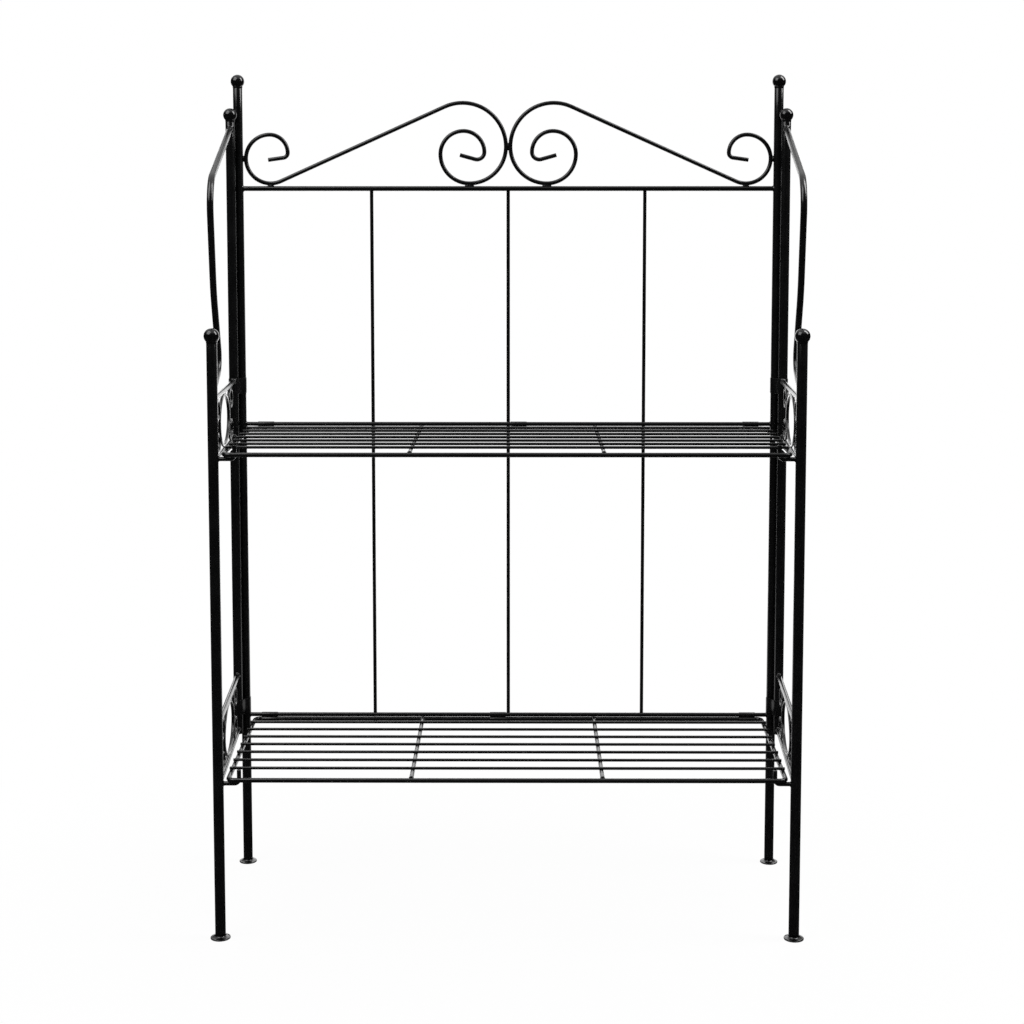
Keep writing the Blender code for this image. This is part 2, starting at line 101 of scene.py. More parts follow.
# Back wires and crest scrolls: the large curl at the middle, the small one at the post
WIRE_TRIM = 0.0030  # cut off the wires' upper ends, so that none stands above the top rail
CREST_SLOPE_R = 0.0562  # large curl, from the slope round to the middle
CREST_LOW_R = 0.0474  # from the middle down to the rail
CREST_RADII = (0.0376, 0.0299, 0.0271)  # then by quarter turns inwards
CREST_END = (0.0096, 105.5, 0.0203)  # hook's radius, its turn in degrees, and straight tail
SMALL_SLOPE_R = 0.0315  # small curl, from the slope down to the rail
SMALL_RADII = (0.0318, 0.0310, 0.0233)
SMALL_END = (0.0065, 82.0, 0.0200)
CREST_POST_GAP, CREST_RAIL_GAP = 0.0009, 0.0007

# Side frames; an arch rail's bends by place back from the front post, rise above its foot, and radius
ARCH_BENDS = ((0.0, 0.2437, 0.0400), (0.0280, 0.1176, 0.1200), (0.0800, 0.0266, 0.0220))
ARCH_STILE_DROP = 0.0110  # rail's start below the stile's end
ARCH_POST_DROP = 0.0593  # rail's foot below the front post's end
ARCH_SIDES = 28
OVAL_HALF = 0.0520  # half length of the guards' oval
SCROLL_ARM, SCROLL_BACK_R, SCROLL_CURL_R, SCROLL_CURL_TURN = 0.0085, 0.0140, 0.0113, 235.0
SCROLL_SINK = 0.0011  # depth of a scroll's back in the oval's rod
HOOK_BEND_R, HOOK_TIP_RISE = 0.0055, 0.0165

# Hinge sheet
SLIT = 0.0004  # least half width of the slit where a sheet closes
SHEET_EDGE = 0.35  # rounding of the sheet's edges, in shares of its thickness

# Shelves
SHELF_SIDE_GAP = 0.0034  # between a shelf and the posts
SHELF_CORNER_R = 0.0080
SHELF_WIRES, WIRE_SIDES = 7, 16
WIRE_INSET = 0.0005  # wires end short of the side rods' outer faces
BAR_COLUMNS = (-0.1139, 0.1139)  # cross bars, from the shelf's middle

# Welds: fillets where rods meet tubes
FILLET_DEPTH = 0.0006  # a fillet closes this deep in the metal
FILLET_ROOT = 0.3  # and this far from the rod's axis, in shares of its diameter
FILLET_SLOW, FILLET_FAST = 0.16, 0.09  # changes of its leg, three and seven times round
ARCH_LEG, HOOK_LEG = 0.0014, 0.0013
HOOK_LEAD = 0.03  # rays for a hook's fillet start this far in from the post's axis

# Welds: beads by half sizes along, across and out, then ripple and beats
WIRE_NUGGET = ((0.0021, 0.0019, 0.0012), 0.04, 3)
SMALL_CURL_BEAD = ((0.0042, 0.0017, 0.0013), 0.14, 5)
LARGE_CURL_BEAD = ((0.0062, 0.0017, 0.0013), 0.14, 5)
CREST_BEAD_OUT = 0.0010  # curls' beads in front of and behind the rail's axis
CREST_POST_BEAD = ((0.0042, 0.0018, 0.0024), 0.12, 3)
CREST_MIDDLE_BEAD = ((0.0050, 0.0012, 0.0018), 0.10, 5)
OVAL_BEAD = ((0.0060, 0.0016, 0.0013), 0.10, 5)
SCROLL_BEAD = ((0.0050, 0.0016, 0.0013), 0.10, 5)
FRAME_NUGGET = ((0.0021, 0.0017, 0.0010), 0.04, 3)
BAR_NUGGET = ((0.0021, 0.0017, 0.0009), 0.04, 3)
BAR_END_BEAD = ((0.0031, 0.0031, 0.0010), 0.05, 3)

# Welds: phase of the waves per metre of a weld's place, so that neighbours differ
GUARD_PHASE, SCROLL_PHASE, HOOK_PHASE, FRAME_PHASE, BAR_PHASE = 40, 50, 30, 90, 70

# Powder coat: spans of noise that count, and what specks, streaks, clouds and grain do
SPECK_SPAN, STREAK_SPAN, CLOUD_SPAN = (0.66, 0.80), (0.56, 0.76), (0.30, 0.70)
SPECK_SHARE, SPECK_GRAINS, STREAK_WAVES = 0.20, 3, 3  # strength, and widths in grains and peel waves
DARK, LIGHT = 0.72, 1.30  # the clouds' two ends, in shares of the colour
DUST_SHARE, DUST = 2.4, 0.002  # colour of specks and streaks
CLOUD_SATIN, GRAIN_SATIN, STREAK_SATIN = 0.12, 0.04, 0.25
GRAIN_HEIGHT = 0.22  # in shares of the peel's height
SHEET_RUB, FOOT_RUB = 0.22, 0.15

# Studio: lamps by place, width and height
BACK_PANEL = ((0.0, 1.5, 0.72), (1.7, 1.4))
LEFT_LAMP = ((-1.5, -1.1, 2.5), (2.0, 2.0))
RIGHT_LAMP = ((1.7, -0.15, 2.3), (0.8, 1.9))
LAMP_AIM = np.array([0.0, 0.0, 0.6])
SENSOR = 36.0  # millimetres
FLOOR_HALF, FLOOR_POINTS, FLOOR_Z = 9.0, 13, -0.0002
FLECK_SIZE, FLECK_SPAN, FLECK_DARK = 0.02, (0.3, 0.7), 0.985
SPOT_SPAN, SPOT_WHITE = (0.20, 0.9), 0.95  # soft spot under the stand: its fade and its white share
PAINTED_REFLECTION_BACK_SPAN = (0.2, 0.8)  # painted reflection: to glossy rays the floor is painted white backwards, towards the panel
PAINTED_REFLECTION_SIDE_SPAN = (0.5, 1.0)  # and the painted reflection dims sideways, over the square of the distance
CEILING_SPAN, CEILING_LEAN = (0.30, 1.0), 0.25  # steepness that sees it, and how far it comes down behind


def node_box(node):
    """Lowest and highest corner of a CAD node."""
    low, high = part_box(node)
    return np.array(low), np.array(high)


def node_middle(node):
    """Half the sum of a CAD node's two corners."""
    low, high = node_box(node)
    return (low + high) / 2


def node_size(node):
    """Width, depth and height of a CAD node."""
    low, high = node_box(node)
    return high - low


class StandSizes(bpy.types.PropertyGroup):
    """Rods, sheet and scrolls, in metres"""

    top_rail_d: FloatProperty(
        name="Top rail", description="Diameter of the top rail's rod", default=0.0065, unit="LENGTH"
    )
    back_rail_d: FloatProperty(
        name="Back rails", description="Diameter of the hinge rails' rod", default=0.0055, unit="LENGTH"
    )
    back_wire_d: FloatProperty(
        name="Back wires", description="Diameter of the upright wires", default=0.0046, unit="LENGTH"
    )
    crest_d: FloatProperty(
        name="Crest", description="Diameter of the crest scrolls' rod", default=0.0054, unit="LENGTH"
    )
    guard_d: FloatProperty(
        name="Guards", description="Diameter of the guard rails' rod", default=0.0065, unit="LENGTH"
    )
    scroll_d: FloatProperty(
        name="Scrollwork", description="Diameter of the guards' inner rods", default=0.0040, unit="LENGTH"
    )
    arch_d: FloatProperty(
        name="Arch rails", description="Diameter of the arch rails' rod", default=0.0080, unit="LENGTH"
    )
    hook_d: FloatProperty(
        name="Hooks", description="Diameter of the shelf hooks' rod", default=0.0052, unit="LENGTH"
    )
    shelf_d: FloatProperty(
        name="Shelf frames", description="Diameter of the frames' rod", default=0.0056, unit="LENGTH"
    )
    wire_d: FloatProperty(
        name="Shelf wires", description="Diameter of the shelf wires", default=0.0036, unit="LENGTH"
    )
    bar_d: FloatProperty(
        name="Cross bars", description="Diameter of the bars under wires", default=0.0053, unit="LENGTH"
    )
    tube_wall: FloatProperty(
        name="Tube wall", description="Wall of the posts and stiles", default=0.0010, unit="LENGTH"
    )
    strap_t: FloatProperty(
        name="Strap sheet", description="Thickness of the hinge straps", default=0.0005, unit="LENGTH"
    )
    sleeve_t: FloatProperty(
        name="Sleeve sheet", description="Thickness of the shelf sleeves", default=0.0004, unit="LENGTH"
    )
    strap_pinch: FloatProperty(
        name="Strap waist", description="Dip of a strap between its tubes", default=0.0008, unit="LENGTH"
    )
    sleeve_pinch: FloatProperty(
        name="Sleeve waist", description="Dip of a sleeve between its rods", default=0.0015, unit="LENGTH"
    )
    ease: FloatProperty(
        name="Cut edges", description="Rounding of cut ends under the coat", default=0.0004, unit="LENGTH"
    )
    weld_leg: FloatProperty(
        name="Weld leg", description="Reach of a weld along its rod", default=0.0012, unit="LENGTH"
    )
    step: FloatProperty(
        name="Station step", description="Longest step along a rod", default=0.0160, unit="LENGTH"
    )
    rod_sides: IntProperty(name="Rod sides", description="Points round a rod", default=20, min=8)
    tube_sides: IntProperty(name="Tube sides", description="Points round a tube", default=48, min=12)


class StandFinish(bpy.types.PropertyGroup):
    """Colours and textures of the powder coat"""

    coat_colour: FloatVectorProperty(
        name="Coat", description="Coat on rods and tubes", subtype="COLOR", default=(0.0030, 0.0030, 0.0032)
    )
    ball_colour: FloatVectorProperty(
        name="Balls", description="Coat on the balls", subtype="COLOR", default=(0.0026, 0.0026, 0.0028)
    )
    sheet_colour: FloatVectorProperty(
        name="Sheet", description="Coat on hinge sheet", subtype="COLOR", default=(0.0032, 0.0032, 0.0034)
    )
    foot_colour: FloatVectorProperty(
        name="Feet", description="Coat on the feet", subtype="COLOR", default=(0.0030, 0.0030, 0.0032)
    )
    coat_roughness: FloatProperty(name="Coat roughness", description="Satin of the coat", default=0.20)
    ball_roughness: FloatProperty(name="Ball roughness", description="Gloss of the balls", default=0.09)
    sheet_roughness: FloatProperty(name="Sheet roughness", description="Satin of the sheet", default=0.24)
    foot_roughness: FloatProperty(name="Foot roughness", description="Satin of the feet", default=0.15)
    peel_size: FloatProperty(
        name="Orange peel", description="Width of the coat's waves", default=0.0013, unit="LENGTH"
    )
    peel_depth: FloatProperty(
        name="Peel depth", description="Height of the coat's waves", default=0.000005, unit="LENGTH"
    )
    grain_size: FloatProperty(
        name="Grain", description="Width of the powder's fine grain", default=0.00028, unit="LENGTH"
    )
    cloud_size: FloatProperty(
        name="Clouding", description="Width of thicker and thinner coat", default=0.0260, unit="LENGTH"
    )


class StandStudio(bpy.types.PropertyGroup):
    """Camera, lamps and floor"""

    lens: FloatProperty(name="Lens", description="Focal length", default=62.880, unit="CAMERA")
    place: FloatVectorProperty(
        name="Camera", description="Its place", subtype="XYZ", default=(0.01473, -2.20824, 0.86600)
    )
    pitch: FloatProperty(name="Pitch", description="Tilt down", subtype="ANGLE", default=0.09133)
    yaw: FloatProperty(name="Yaw", description="Turn to the right", subtype="ANGLE", default=-0.00417)
    roll: FloatProperty(name="Roll", description="Lean of the camera", subtype="ANGLE", default=0.0)
    shift: FloatProperty(name="Shift", description="Upright shift of the frame", default=-0.13)
    back_power: FloatProperty(name="Back panel", description="Power", default=12.0, unit="POWER")
    left_power: FloatProperty(name="Left lamp", description="Power", default=44.0, unit="POWER")
    right_power: FloatProperty(name="Right lamp", description="Power", default=50.0, unit="POWER")
    room: FloatProperty(name="Room light", description="Plain light from all round", default=0.12)
    # dim_room also sets the dim part of the floor's painted reflection
    dim_room: FloatProperty(name="Dim room", description="Room that the gloss sees", default=0.03)
    ceiling: FloatProperty(name="Ceiling", description="Ceiling that the gloss sees", default=1.00)
    floor_colour: FloatVectorProperty(
        name="Floor", description="Colour of the floor", subtype="COLOR", default=(0.86, 0.86, 0.86)
    )


# Drawing: paths in a plane, sections and closed skins


def unit(vectors):
    """Vectors divided by their own lengths."""
    return vectors / np.linalg.norm(vectors, axis=-1, keepdims=True)


def arc(centre, radius, start, end, step=5.0):
    """Points centre + radius (cos a, sin a), with a in even steps from start to end degrees."""
    count = max(3, int(abs(end - start) / step) + 2)
    angle = np.radians(np.linspace(start, end, count))
    return np.asarray(centre) + radius * np.stack([np.cos(angle), np.sin(angle)], axis=1)


def bent(corners):
    """Straight runs between corners (u, v, bend radius) with a tangent arc at each bend; a corner of no
    radius is an end. An arc's centre lies on the corner's bisector, at the radius over the sine of the
    half angle."""
    places = np.array([corner[:2] for corner in corners])
    runs = []
    for i, (_, _, radius) in enumerate(corners):
        if radius == 0:
            runs.append(places[i : i + 1])
            continue
        before = unit(places[i - 1] - places[i])
        after = unit(places[(i + 1) % len(corners)] - places[i])
        half = math.acos(before @ after) / 2
        centre = places[i] + unit(before + after) * radius / math.sin(half)
        first = places[i] + before * radius / math.tan(half) - centre
        final = places[i] + after * radius / math.tan(half) - centre
        start = math.degrees(math.atan2(first[1], first[0]))
        sweep = (math.degrees(math.atan2(final[1], final[0])) - start + 180) % 360 - 180
        runs.append(arc(centre, radius, start, start + sweep))
    return np.concatenate(runs)


def spaced(path, most, closed=False):
    """Path with points added on its straight runs, so that no step is longer than most."""
    if closed:
        path = np.concatenate([path, path[:1]])
    step = np.linalg.norm(np.diff(path, axis=0), axis=1)
    path = path[np.concatenate([[True], step > SAME])]
    step = step[step > SAME]
    at = np.concatenate([[0.0], np.cumsum(step)])
    count = np.maximum(1, np.ceil(step / most)).astype(int)
    inner = [np.linspace(a, b, n, endpoint=False) for a, b, n in zip(at[:-1], at[1:], count)]
    places = np.concatenate([*inner, at[-1:]])
    dense = np.stack([np.interp(places, at, path[:, k]) for k in range(path.shape[1])], axis=1)
    return dense[:-1] if closed else dense


def stretched(path, more):
    """Path whose two ends run on straight by a length."""
    first = path[0] + more * unit(path[0] - path[1])
    last = path[-1] + more * unit(path[-1] - path[-2])
    return np.concatenate([first[None], path[1:-1], last[None]])


def stood(path, origin, along, rise=UP):
    """Drawing points (u, v) placed in space: origin + u along + v rise."""
    return np.asarray(origin) + path[:, :1] * np.asarray(along) + path[:, 1:2] * np.asarray(rise)


def shell(grid, wrap=False):
    """Closed skin over a grid of stations by points round the section: four-sided faces between
    neighbours, the last station joined to the first or each end closed by a fan to its middle. Faces
    are turned round where the skin's signed volume comes out negative."""
    rows, columns = grid.shape[:2]
    index = np.arange(rows * columns).reshape(rows, columns)
    right = np.roll(index, -1, axis=1)
    points = grid.reshape(-1, 3)
    fans = np.zeros((0, 3), int)
    if wrap:
        above, corner = np.roll(index, -1, axis=0), np.roll(right, -1, axis=0)
        quads = np.stack([index, right, corner, above], axis=-1).reshape(-1, 4)
    else:
        quads = np.stack([index[:-1], right[:-1], right[1:], index[1:]], axis=-1).reshape(-1, 4)
        hubs = rows * columns + np.array([0, 1])
        start = np.stack([np.full(columns, hubs[0]), right[0], index[0]], axis=-1)
        stop = np.stack([np.full(columns, hubs[1]), index[-1], right[-1]], axis=-1)
        fans = np.concatenate([start, stop])
        points = np.concatenate([points, grid[[0, -1]].mean(axis=1)])
    triangles = np.concatenate([quads[:, :3], quads[:, [0, 2, 3]], fans])
    a, b, c = (points[triangles[:, k]] - points[0] for k in range(3))
    if np.einsum("ij,ij->", a, np.cross(b, c)) < 0:
        quads, fans = quads[:, ::-1], fans[:, ::-1]
    return points, quads, fans


def carried(path, section, normal, closed=False):
    """Grid of a section carried along a path: its first coordinate runs along normal x tangent, its
    second along tangent x first. The section is one outline or one outline per station."""
    tangent = np.roll(path, -1, axis=0) - np.roll(path, 1, axis=0)
    if not closed:
        tangent[0] = path[1] - path[0]
        tangent[-1] = path[-1] - path[-2]
    tangent = unit(tangent)
    side = unit(np.cross(normal, tangent))
    other = np.cross(tangent, side)
    return path[:, None] + section[..., :1] * side[:, None] + section[..., 1:] * other[:, None]


def circle(sides):
    """Points (cos a, sin a) in even steps round the unit circle."""
    angle = np.linspace(0, 2 * np.pi, sides, endpoint=False)
    return np.stack([np.cos(angle), np.sin(angle)], axis=1)


def rod(path, diameter, normal, sizes, closed=False, sides=None):
    """Round rod along a path in the plane of a normal. At a cut end the radius shrinks by
    ease (1 - cos t) while the station moves on by ease sin t, t from 0 to a quarter turn."""
    outline = circle(sides or sizes.rod_sides)
    path = spaced(path, sizes.step, closed)
    if closed:
        return shell(carried(path, outline * diameter / 2, normal, True), True)
    turn = np.linspace(0, np.pi / 2, EASE_POINTS)[:, None]
    back = sizes.ease * (1 - np.sin(turn))
    shrink = sizes.ease * (1 - np.cos(turn))
    first = path[0] + back * unit(path[1] - path[0])
    last = path[-1] + back * unit(path[-2] - path[-1])
    stations = np.concatenate([first[::-1], path[1:-1], last])
    full = np.full((len(path) - 2, 1), diameter / 2)
    radii = np.concatenate([diameter / 2 - shrink[::-1], full, diameter / 2 - shrink])
    return shell(carried(stations, radii[:, None] * outline, normal))


def turned(profile, axis, sides, wrap=False, wave=0.0):
    """Profile of (radius, height) points turned about an upright axis: (r cos a, r sin a, z), with the
    radius waved by wave (sin 5a + sin (8a + 1) / 2) for weld rings."""
    angle = np.linspace(0, 2 * np.pi, sides, endpoint=False)
    radius = profile[:, :1] + wave * (np.sin(5 * angle) + 0.5 * np.sin(8 * angle + 1.0))
    height = np.broadcast_to(profile[:, 1:], radius.shape)
    grid = np.stack([axis[0] + radius * np.cos(angle), axis[1] + radius * np.sin(angle), height], axis=-1)
    return shell(grid, wrap)


def swung(a, b, c, count=8):
    """Points of the quadratic curve from a to c that leaves and arrives towards b."""
    s = np.linspace(0, 1, count)[:, None]
    return (1 - s) ** 2 * np.asarray(a) + 2 * s * (1 - s) * np.asarray(b) + s**2 * np.asarray(c)


def band(radius, thickness, length, width, pinch, origin, along, rise):
    """Sheet closed round two rods a length apart. Its middle line is a half circle about each rod, joined
    by two runs that dip by pinch sin^2 between them, cut by a slit in the second run. The section is
    a rectangle of thickness by width with rounded corners."""
    share = np.linspace(0, 1, BAND_POINTS)
    dip = radius - pinch * np.sin(np.pi * share) ** 2
    slit = SLIT / length
    second = np.stack([length * share, -dip], axis=1)
    leave = second[share > 0.5 + slit]
    arrive = second[share < 0.5 - slit]
    first = np.stack([length * share[::-1], dip], axis=1)
    far = arc((length, 0), radius, -90, 90)[1:-1]
    near = arc((0, 0), radius, 90, 270)[1:-1]
    path = np.concatenate([leave, far, first, near, arrive])
    corner = SHEET_EDGE * thickness
    reach = np.array([thickness / 2 - corner, width / 2 - corner])
    signs = np.repeat([[1, 1], [-1, 1], [-1, -1], [1, -1]], CORNER_POINTS, axis=0)
    quarters = [np.linspace(start, start + 90, CORNER_POINTS) for start in (0, 90, 180, 270)]
    angle = np.radians(np.concatenate(quarters))
    section = signs * reach + corner * np.stack([np.cos(angle), np.sin(angle)], axis=1)
    return shell(carried(stood(path, origin, along, rise), section, np.cross(along, rise)))


def tee_weld(at, way, rod_d, tube, leg, phase, sheet=0.0):
    """Fillet ring where a rod runs into an upright tube, or into the sheet round it. Round the rod, rays
    along its way are met with the tube's cylinder; the fillet hangs between a line one leg back on the
    rod and a line one leg out on the tube, and closes inside the metal. The leg varies with the angle,
    as a hand weld does."""
    axis = axis_of(tube)
    tube_r = radius_of(tube) + sheet
    angle = np.linspace(0, 2 * np.pi, FILLET_SIDES, endpoint=False)[:, None]
    way = unit(np.asarray(way))
    level = unit(np.cross(way, UP))
    around = np.cos(angle) * level + np.sin(angle) * np.cross(level, way)
    slow = FILLET_SLOW * np.sin(3 * angle + phase)
    fast = FILLET_FAST * np.sin(7 * angle + 2 * phase)
    spread = leg * (1 + slow + fast)

    def met(distance):
        """Where the rays at a distance from the rod's axis first reach the tube."""
        start = np.asarray(at) + distance * around
        plan = start[:, :2] - axis
        a = way[:2] @ way[:2]
        b = plan @ way[:2]
        c = (plan**2).sum(axis=1) - tube_r**2
        run = (-b - np.sqrt(np.maximum(b**2 - a * c, 0))) / a
        return start + run[:, None] * way

    corner = met(np.full_like(angle, rod_d / 2))
    on_rod = corner - spread * way
    on_tube = met(rod_d / 2 + spread)
    inside = met(np.full_like(angle, rod_d * FILLET_ROOT)) + FILLET_DEPTH * way
    control = 0.5 * corner + 0.25 * (on_rod + on_tube)
    s = np.linspace(0, 1, FILLET_POINTS)[None, :, None]
    hang = (1 - s) ** 2 * on_rod[:, None] + 2 * s * (1 - s) * control[:, None] + s**2 * on_tube[:, None]
    return shell(np.concatenate([hang, inside[:, None]], axis=1), True)


def bead(centre, along, out, sizes, ripple, beats, phase=0.0):
    """Weld bead: an ellipsoid of three half sizes along, across and out, whose girth swells and shrinks
    by the ripple in beats along its length, like the steps of a weld."""
    lat = np.linspace(-np.pi / 2, np.pi / 2, BEAD_ROWS)[1:-1, None]
    lon = np.linspace(0, 2 * np.pi, BEAD_SIDES, endpoint=False)
    along = unit(np.asarray(along, float))
    out = unit(np.asarray(out, float))
    across = np.cross(out, along)
    girth = np.cos(lat) * (1 + ripple * np.sin(beats * 2 * lat + phase + np.cos(lon)))
    length = np.broadcast_to(np.sin(lat), girth.shape)
    grid = np.asarray(centre) + sizes[0] * length[..., None] * along
    grid = grid + sizes[1] * (girth * np.cos(lon))[..., None] * across
    return shell(grid + sizes[2] * (girth * np.sin(lon))[..., None] * out)


# Coats


class Value:
    """A shader socket that takes part in Python sums; each operator adds its Math node."""

    def __init__(self, graph, socket):
        self.graph = graph
        self.socket = socket

    def __add__(self, other):
        return self.graph.math("ADD", self, other)

    __radd__ = __add__

    def __sub__(self, other):
        return self.graph.math("SUBTRACT", self, other)

    def __rsub__(self, other):
        return self.graph.math("SUBTRACT", other, self)

    def __mul__(self, other):
        return self.graph.math("MULTIPLY", self, other)

    __rmul__ = __mul__


class Graph:
    """A node tree that is emptied and filled by calls."""

    def __init__(self, tree):
        self.tree = tree
        tree.nodes.clear()

    def node(self, kind, settings=None, sockets=None, output=0):
        """Add one node: its settings first, then numbers, colours or links for its sockets."""
        made = self.tree.nodes.new(kind)
        for name, setting in (settings or {}).items():
            setattr(made, name, setting)
        for name, given in (sockets or {}).items():
            if isinstance(given, Value):
                self.tree.links.new(given.socket, made.inputs[name])
            else:
                made.inputs[name].default_value = given
        return Value(self, made.outputs[output]) if made.outputs else made

    def math(self, operation, first, second):
        """One Math node on two numbers or links."""
        return self.node("ShaderNodeMath", {"operation": operation}, {0: first, 1: second})

    def noise(self, at, size, detail=2.0, rough=0.5):
        """Noise between 0 and 1 whose waves are about the given size in metres."""
        sockets = {"Vector": at, "Scale": 1 / size, "Detail": detail, "Roughness": rough}
        return self.node("ShaderNodeTexNoise", sockets=sockets)

    def span(self, value, low, high, to_low=0.0, to_high=1.0):
        """Value moved from one span to another, smoothly and within its ends."""
        settings = {"interpolation_type": "SMOOTHSTEP"}
        sockets = {"Value": value, "From Min": low, "From Max": high, "To Min": to_low, "To Max": to_high}
        return self.node("ShaderNodeMapRange", settings, sockets)

    def mix(self, share, first, second):
        """Colours mixed by a share, on the Mix node's colour sockets."""
        return self.node("ShaderNodeMix", {"data_type": "RGBA"}, {0: share, 6: first, 7: second}, 2)


def powder_coat(finish, name, colour, roughness, rub):
    """Black powder coat: orange-peel waves and fine grain in the bump, slow clouds in colour and gloss,
    dusty specks, and where rub is above zero paler and duller streaks."""
    coat = bpy.data.materials.get(name)
    if coat:
        return coat
    coat = bpy.data.materials.new(name)
    coat.use_nodes = True
    graph = Graph(coat.node_tree)
    at = graph.node("ShaderNodeTexCoord", output="Object")
    peel = graph.noise(at, finish.peel_size, 2.0)
    grain = graph.noise(at, finish.grain_size, 1.0)
    cloud = graph.noise(at, finish.cloud_size, 4.0, 0.6)
    speck = graph.span(graph.noise(at, finish.grain_size * SPECK_GRAINS, 0.0), *SPECK_SPAN)
    wear = graph.noise(at, finish.peel_size * STREAK_WAVES, 6.0, 0.7)
    streak = graph.span(wear, *STREAK_SPAN, 0.0, rub)
    dark = [c * DARK for c in colour] + [1.0]
    light = [c * LIGHT for c in colour] + [1.0]
    dusty = [c * DUST_SHARE + DUST for c in colour] + [1.0]
    base = graph.mix(graph.span(cloud, *CLOUD_SPAN), dark, light)
    base = graph.mix(speck * SPECK_SHARE + streak, base, dusty)
    satin = roughness + (cloud - 0.5) * CLOUD_SATIN + (grain - 0.5) * GRAIN_SATIN + streak * STREAK_SATIN
    relief = {"Strength": 1.0, "Distance": finish.peel_depth, "Height": peel + grain * GRAIN_HEIGHT}
    bump = graph.node("ShaderNodeBump", sockets=relief)
    sockets = {"Base Color": base, "Roughness": satin, "Normal": bump, "Specular IOR Level": 0.5}
    shader = graph.node("ShaderNodeBsdfPrincipled", sockets=sockets)
    graph.node("ShaderNodeOutputMaterial", sockets={"Surface": shader})
    return coat


def coats(context):
    """The four finishes by their slots."""
    finish = context.scene.stand_finish
    looks = {
        "powder_coat": ("satin_powder_coat", finish.coat_colour, finish.coat_roughness, 0.0),
        "ball_coat": ("ball_powder_coat", finish.ball_colour, finish.ball_roughness, 0.0),
        "hinge_sheet": ("rubbed_sheet_coat", finish.sheet_colour, finish.sheet_roughness, SHEET_RUB),
        "foot_coat": ("scuffed_foot_coat", finish.foot_colour, finish.foot_roughness, FOOT_RUB),
    }
    return {slot: powder_coat(finish, *look) for slot, look in looks.items()}


def add_piece(context, name, shells, body, slot="powder_coat", nodes=()):
    """One object from closed skins, which rides on its body and stands for CAD nodes."""
    offsets = np.cumsum([0] + [len(points) for points, _, _ in shells])
    points = np.concatenate([part[0] for part in shells])
    faces = []
    for (_, quads, fans), offset in zip(shells, offsets):
        faces += (quads + offset).tolist() + (fans + offset).tolist()
    mesh = bpy.data.meshes.new(name)
    mesh.from_pydata(points.tolist(), [], faces)
    mesh.shade_smooth()
    mesh.set_sharp_from_angle(angle=SHARP_EDGE)
    mesh.materials.append(coats(context)[slot])
    piece = bpy.data.objects.new(name, mesh)
    context.scene.collection.objects.link(piece)
    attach(piece, body)
    if nodes:
        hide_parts(*nodes)


def add_skin(context, node, shells, body, slot="powder_coat"):
    """One object that stands for one CAD node and is named after it."""
    add_piece(context, f"{node}_skin", shells, body, slot, [node])


# Places that several pieces share


def uprights():
    """Each tube's node with the body it belongs to."""
    for side, _ in SIDES:
        yield f"{side}_back_post", "back_frame"
        yield f"{side}_front_post", f"{side}_side"
        yield f"{side}_rear_stile", f"{side}_side"


def axis_of(node):
    """Place of an upright node's axis in plan."""
    return node_middle(node)[:2]


def radius_of(node):
    """Half the width of an upright node."""
    return node_size(node)[0] / 2


def side_run(side):
    """Stile's axis, way to the front post, and the distance between them, in plan."""
    stile = axis_of(f"{side}_rear_stile")
    post = axis_of(f"{side}_front_post")
    length = np.linalg.norm(post - stile)
    way = np.append((post - stile) / length, 0.0)
    return np.append(stile, 0.0), way, length


def rail_rods(sizes):
    """Name, middle and diameter of the three rails of the back."""
    rails = (("top_rail", sizes.top_rail_d), ("upper_back_rail", sizes.back_rail_d))
    return [(name, node_middle(name), d) for name, d in (*rails, ("lower_back_rail", sizes.back_rail_d))]


def curl(x, base, radii, hook, turn, tail):
    """Scroll end from its lowest point: a quarter turn of each radius, a hook and a straight tail. Each
    arc is tangent to the one before, as its centre lies one radius in from the point where it starts."""
    path = np.array([[x, base]])
    angle = 270.0
    for radius, sweep in [*((radius, 90.0) for radius in radii), (hook, turn)]:
        way = math.radians(angle)
        centre = path[-1] - radius * np.array([math.cos(way), math.sin(way)])
        path = np.concatenate([path, arc(centre, radius, angle, angle - sweep)[1:]])
        angle -= sweep
    way = math.radians(angle)
    end = path[-1:] + tail * np.array([[math.sin(way), -math.cos(way)]])
    return np.concatenate([path, end])


def crest_base(sizes):
    """Height of the crest rods' axis where they lie on the top rail."""
    return node_middle("top_rail")[2] + (sizes.top_rail_d + sizes.crest_d) / 2 + CREST_RAIL_GAP


def crest_lows(sizes):
    """Places across the stand of the left scroll's side at the post, and of its curls' lowest points."""
    side = axis_of("left_back_post")[0] + radius_of("left_back_post") + CREST_POST_GAP + sizes.crest_d / 2
    return side, side + SMALL_RADII[0], -(sizes.crest_d + GAP) / 2 - CREST_LOW_R


def crest_drawing(sizes):
    """Left crest scroll, from the small curl's tail over the slope to the large curl's tail. The slope is
    the straight line that touches both curls' circles, on their lower and upper side."""
    base = crest_base(sizes)
    _, small_x, large_x = crest_lows(sizes)
    small = np.array([small_x, base + SMALL_SLOPE_R])
    low = np.array([large_x, base + CREST_LOW_R])
    large = low - [CREST_SLOPE_R - CREST_LOW_R, 0.0]
    run = large - small
    across = SMALL_SLOPE_R + CREST_SLOPE_R
    slope = math.degrees(math.atan2(run[1], run[0]) + math.asin(across / np.linalg.norm(run)))
    runs = [
        curl(small_x, base, SMALL_RADII, *SMALL_END)[::-1],
        arc(small, SMALL_SLOPE_R, 270, 270 + slope)[1:],
        arc(large, CREST_SLOPE_R, 90 + slope, 0),
        arc(low, CREST_LOW_R, 0, -90)[1:],
        curl(large_x, base, CREST_RADII, *CREST_END)[1:],
    ]
    return np.concatenate(runs)


